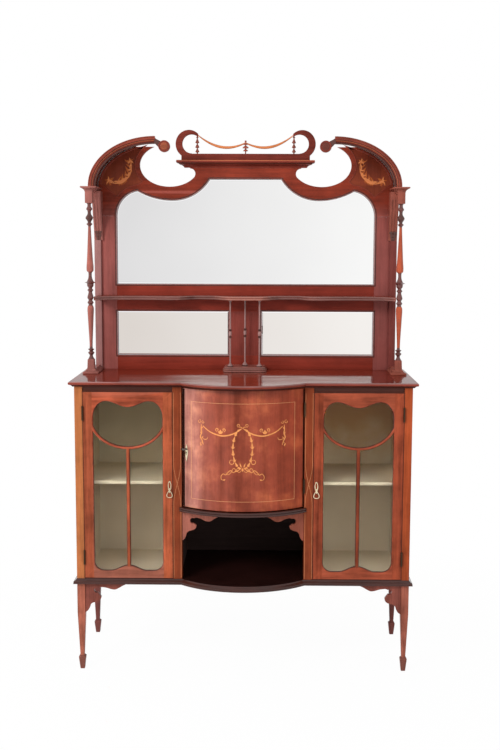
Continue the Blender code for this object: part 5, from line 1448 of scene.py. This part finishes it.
SPINDLE_HEAD = mm((0, 5.8), (-4, 5.8), (-6, 3.2))
SPINDLE_KNOP = mm((17, 3.2), (14.8, 5.8), (11.8, 5.8), (9.8, 3.8), (6, 5.2), (0, 5.5), (-6, 5.2), (-9.8, 3.8),
                  (-11.8, 5.8), (-14.8, 5.8), (-17, 3.2))
SPINDLE_FOOT = mm((16, 3.2), (12, 5.6), (9, 5.8), (6.5, 8.6), (2.5, 10.6), (0, 10.8))
GADROONS = ((0, -3.4, 0), (1.1, -3.4, 0), (1.3, -0.6, 0.2), (1.8, 0, 0.4), (5.4, 0, 0.4), (6.2, -0.5, 0.3),
            (6.8, -2.2, 0.2), (7.2, -2.8, 0.4), (8.2, -1.9, 1.3), (9.8, -1.4, 1.6), (11.4, -2, 1.4),
            (12.4, -3.4, 0.8), (12.8, -4.6, 0.3), (14, -5, 0), (15.6, -5.6, 0), (16.4, -7.2, 0),
            (17.6, -7.8, 0), (18.5, -9.4, 0))


def spindle_plinth_outline(inset, dip):
    """Plan of the spindles' plinth, its lobed front scalloped by the dip."""
    radius = 0.028 + inset
    lobe = circle(-SPINDLE_X, SPINDLE_Y, radius, 180, 290, 44)
    last_x, last_y = lobe[-1]
    path = [*lobe, *((last_x * (1 - i / 40), last_y) for i in range(1, 41))]
    walked = [0]
    for (ax, ay), (bx, by) in zip(path, path[1:]):
        walked.append(walked[-1] + hypot(bx - ax, by - ay))
    waves = 2 * pi * 11 / walked[-1]
    left = [(-SPINDLE_X - radius, FRAME_Y - GAP)]
    for (x, y), (nx, ny), s in zip(path, normals(path, False), walked):
        deep = dip * (1 - cos(waves * s)) / 2
        left.append((x + nx * deep, y + ny * deep))
    return [*left, *flip(left)[1:]]


def make_spindles():
    low = DESK_Z + GAP
    foot, top = low + GAP + 0.0185, SHELF_Z - GAP
    middle = (foot + top) / 2
    parts = ((top, SPINDLE_HEAD), (middle, SPINDLE_KNOP), (foot, SPINDLE_FOOT))
    profile = smooth([(level + z, r) for level, rows in parts for z, r in rows], 4)

    def tone(z, r):
        return 1 if 0.0085 < abs(z - middle) < 0.0165 or z < foot + 0.003 else 0

    for word, x, y in (("left", -SPINDLE_X, SPINDLE_Y), ("middle", 0, 0.342),
                       ("right", SPINDLE_X, SPINDLE_Y)):
        dress(f"{word}_spindle", "turned", lathe(profile, (x, y), 24, paint=tone),
              [SPINDLE_WOOD, TURNED_DARK])
    # The recessed foot and two grooves of the plinth in dark wood: painted contact shadow and painted shade.
    marks = [1 if z < 1.2 or 6.2 < z < 7.3 or 12 < z < 13 else 0 for z, _, _ in GADROONS]
    rings = [[(x, y, low + z / 1000) for x, y in spindle_plinth_outline(d / 1000, dip / 1000)]
             for z, d, dip in GADROONS]
    dress("spindle_plinth", "moulded", loft(rings, lambda k, i: marks[k]), [PLINTH_WOOD, TURNED_DARK])


# Cornice and gallery

CORNICE_EDGE = ((0, -28.5), (1.5, -27.8), (4, -26), (6.8, -23.6), (9.6, -18), (12, -10.6), (13, -9.2),
                (15.6, -7.6), (16.2, -7.4), (16.6, -3), (17.4, -0.8), (18.6, 0), (22, 0), (23.6, -0.2),
                (25, -0.3), (26.4, -1.2), (27, -3))


def make_cornice():
    half = HOOK_X + 0.0495

    def outline(d):
        return rectangle(-half - d, half + d, FRAME_Y - 0.03 - d, FRAME_Y + FRAME_T)

    # Toned by height: the top rounding in the reed tone as a painted highlight, the recessed band in dark
    # wood as painted shade.
    mesh = stack(outline, CREST_TOP + GAP, CORNICE_EDGE,
                 lambda z: 1 if z > 23 else 2 if 13 < z < 17.4 else 0)
    dress("cornice", "moulded", mesh, [CORNICE_WOOD, REED_HIGHLIGHT, DARK_WOOD])
    make_gallery(half + 0.003, CREST_TOP + GAP + 0.027 + GAP)


BEAD_R = 0.0076
WAIST_R = 0.0026
BALUSTER = ((1, WAIST_R), (0.93, 0.9 * WAIST_R), (0.9, 0.75 * BEAD_R), (0.86, 0.9 * WAIST_R),
            (0.8, WAIST_R), (0.66, 0.8 * BEAD_R), (0.6, BEAD_R), (0.56, WAIST_R), (0.52, WAIST_R),
            (0.4, 0.85 * BEAD_R), (0.34, BEAD_R), (0.3, WAIST_R), (0.26, WAIST_R), (0.15, 0.8 * BEAD_R),
            (0.09, BEAD_R), (0.05, WAIST_R), (-0.12, WAIST_R))
FINIAL = ((1.15, 0.001), (1.12, 0.0035), (1.04, 0.0036), (0.96, 0.003), (0.86, 0.0076), (0.78, 0.0098),
          (0.74, WAIST_R), (0.7, WAIST_R), (0.58, 0.0096), (0.48, 0.0118), (0.44, WAIST_R), (0.4, WAIST_R),
          (0.3, 0.008), (0.22, 0.0094), (0.18, WAIST_R), (-0.1, WAIST_R))


def make_gallery(half, low):
    rail, top, y = low + 0.0235, low + 0.1105, FRAME_Y - 0.009
    wide, high = 0.0498, 0.0515
    end_x, end_z = -half + wide, top - high
    outer = arc(end_x, end_z, wide, high, 235, 46, 56)
    eye = circle(end_x + 0.0103, end_z, 0.0345, 270, 46, 48)
    left = [(outer[0][0], low), *outer, *reversed(eye), (eye[0][0], rail)]
    pieces = [front(plate([[*left, *flip(left)]], 0.01, 0.0022, 3), y)]
    (tip_x, tip_z), eye_z, peak = outer[-1], eye[-1][1], top - 0.0445

    def turned(rows, high, x, steps, mark):
        pieces.append(painted(lathe(smooth([(rail + f * high, r) for f, r in rows], 3), (x, y), steps), mark))

    for hand in (-1, 1):
        turned(BALUSTER, (tip_z + eye_z) / 2 - rail, hand * (tip_x - 0.0035), 24, 1)
    turned(FINIAL, peak - rail, 0, 28, 2)
    dress("gallery", "fret", join(*pieces), [CORNICE_WOOD, PALE_RIGHT, TURNED])
    start_x, start_z = tip_x + GAP, tip_z - 0.3 * (tip_z - eye_z)
    slim, swell, sag, deep = 0.005, 0.0052, 0.106, 0.0048
    swags = []
    for hand in (-1, 1):
        rings = []
        for t in span(0, 1, 44):
            thick = slim + swell * sin(pi * t)
            z = start_z + (peak - start_z) * t - sag * t * (1 - t) - thick / 2
            rings.append([(hand * start_x * (1 - t), y + deep * cos(k), z + thick / 2 * sin(k))
                          for k in (2 * pi * j / 12 for j in range(12))])
        swags.append(loft(rings))
    # The swags take the paler tone: painted light on their tops.
    add("gallery_swags", join(*swags), PALE_INLAY_AND_LIT_SWAG)


# Stage, light and camera

WHITE = (1, 1, 1, 1)
AMBIENT = 0.46
FLOOR_HALF = 40
FLOOR_GLOW = 0.97
LAMPS = (("key", (-2.6, -3.4, 3.4), (0, 0, 1), (1.5, 1.5), 150),
         ("fill", (3, -3.6, 2.2), (0, 0, 1), (2.6, 2.6), 50),
         ("side", (-3.4, -0.4, 1.1), (0, -0.1, 0.9), (1.6, 2.2), 40))
CAMERA_AT = (0.072, -3.838, 1.546)
CAMERA_LENS = 53.28
PITCH, YAW, ROLL = 0.1228, -0.0126, 0.0032


def seen_directly(g):
    """One for camera, glossy and transmission rays, which see the white surround."""
    path = g.node("LightPath").outputs
    either = g.math("MAXIMUM", path["Is Camera Ray"], path["Is Glossy Ray"])
    return g.math("MAXIMUM", either, path["Is Transmission Ray"])


def make_stage():
    """A floor that looks white and keeps a trace of shadow near the cabinet."""
    g = Graph(bpy.data.materials.new("pale_floor"))
    place = g.place()
    mottle = g.ramp(g.noise(place, 1.5, 2), ((0.4, (0.9, 0.9, 0.9)), (0.6, (0.92, 0.92, 0.92))))
    g.set(Base_Color=mottle, Roughness=0.9, Specular_IOR_Level=0)
    glow = g.node("Emission", {"Color": WHITE, "Strength": 1})
    far = g.node("VectorMath", {0: place}, operation="LENGTH").outputs["Value"]
    share = g.math("MULTIPLY", seen_directly(g), g.spread(far, 0.4, 1.8, FLOOR_GLOW, 1))
    both = g.node("MixShader", {0: share, 1: g.shader.outputs["BSDF"], 2: glow.outputs["Emission"]})
    g.put(g.tree.nodes["Material Output"].inputs["Surface"], both.outputs["Shader"])
    corners = rectangle(-FLOOR_HALF, FLOOR_HALF, -FLOOR_HALF, FLOOR_HALF)
    mesh = mesh_of([(x, y, 0) for x, y in corners], [(0, 1, 2, 3)])
    mesh.materials.append(g.data)
    floor = new_object("studio_floor", mesh)
    floor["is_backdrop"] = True


def make_world():
    g = Graph(bpy.data.worlds.new("studio"))
    soft = g.tree.nodes["Background"]
    g.put(soft.inputs["Color"], WHITE)
    g.put(soft.inputs["Strength"], AMBIENT)
    white = g.node("Background", {"Color": WHITE, "Strength": 1})
    both = g.node("MixShader", {0: seen_directly(g), 1: soft.outputs["Background"],
                                2: white.outputs["Background"]})
    g.put(g.tree.nodes["World Output"].inputs["Surface"], both.outputs["Shader"])
    bpy.context.scene.world = g.data


def make_lamp(name, place, target, size, power):
    """An area lamp that no polish or mirror shows."""
    lamp = bpy.data.lights.new(name, "AREA")
    lamp.shape = "RECTANGLE"
    lamp.size, lamp.size_y = size
    lamp.energy = power
    obj = new_object(name, lamp)
    obj.location = place
    obj.rotation_euler = (Vector(target) - Vector(place)).to_track_quat("-Z", "Y").to_euler()
    obj.visible_glossy = False


def make_camera():
    ahead = Vector((sin(YAW) * cos(PITCH), cos(YAW) * cos(PITCH), -sin(PITCH)))
    right = Vector((cos(YAW), -sin(YAW), 0))
    up = right.cross(ahead)
    right, up = cos(ROLL) * right + sin(ROLL) * up, -sin(ROLL) * right + cos(ROLL) * up
    camera = bpy.data.cameras.new("camera")
    camera.lens = CAMERA_LENS
    camera.sensor_width = 36
    obj = new_object("camera", camera)
    x, y, z = CAMERA_AT
    obj.matrix_world = Matrix(((right.x, up.x, -ahead.x, x), (right.y, up.y, -ahead.y, y + FACE_Y),
                               (right.z, up.z, -ahead.z, z), (0, 0, 0, 1)))
    bpy.context.scene.camera = obj


def main():
    for make in (make_boards, make_legs, make_brackets, make_case, make_side_doors, make_bow_door,
                 make_hinges, make_pulls, make_lock, make_mirrors, make_frame, make_crest, make_hoods,
                 make_columns, make_shelf, make_spindles, make_cornice, make_stage, make_world):
        make()
    for lamp in LAMPS:
        make_lamp(*lamp)
    make_camera()
    bpy.context.scene.view_settings.view_transform = "Standard"


main()
boxes = [[list(corner) for corner in box] for box in (CAD_BOX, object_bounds())]
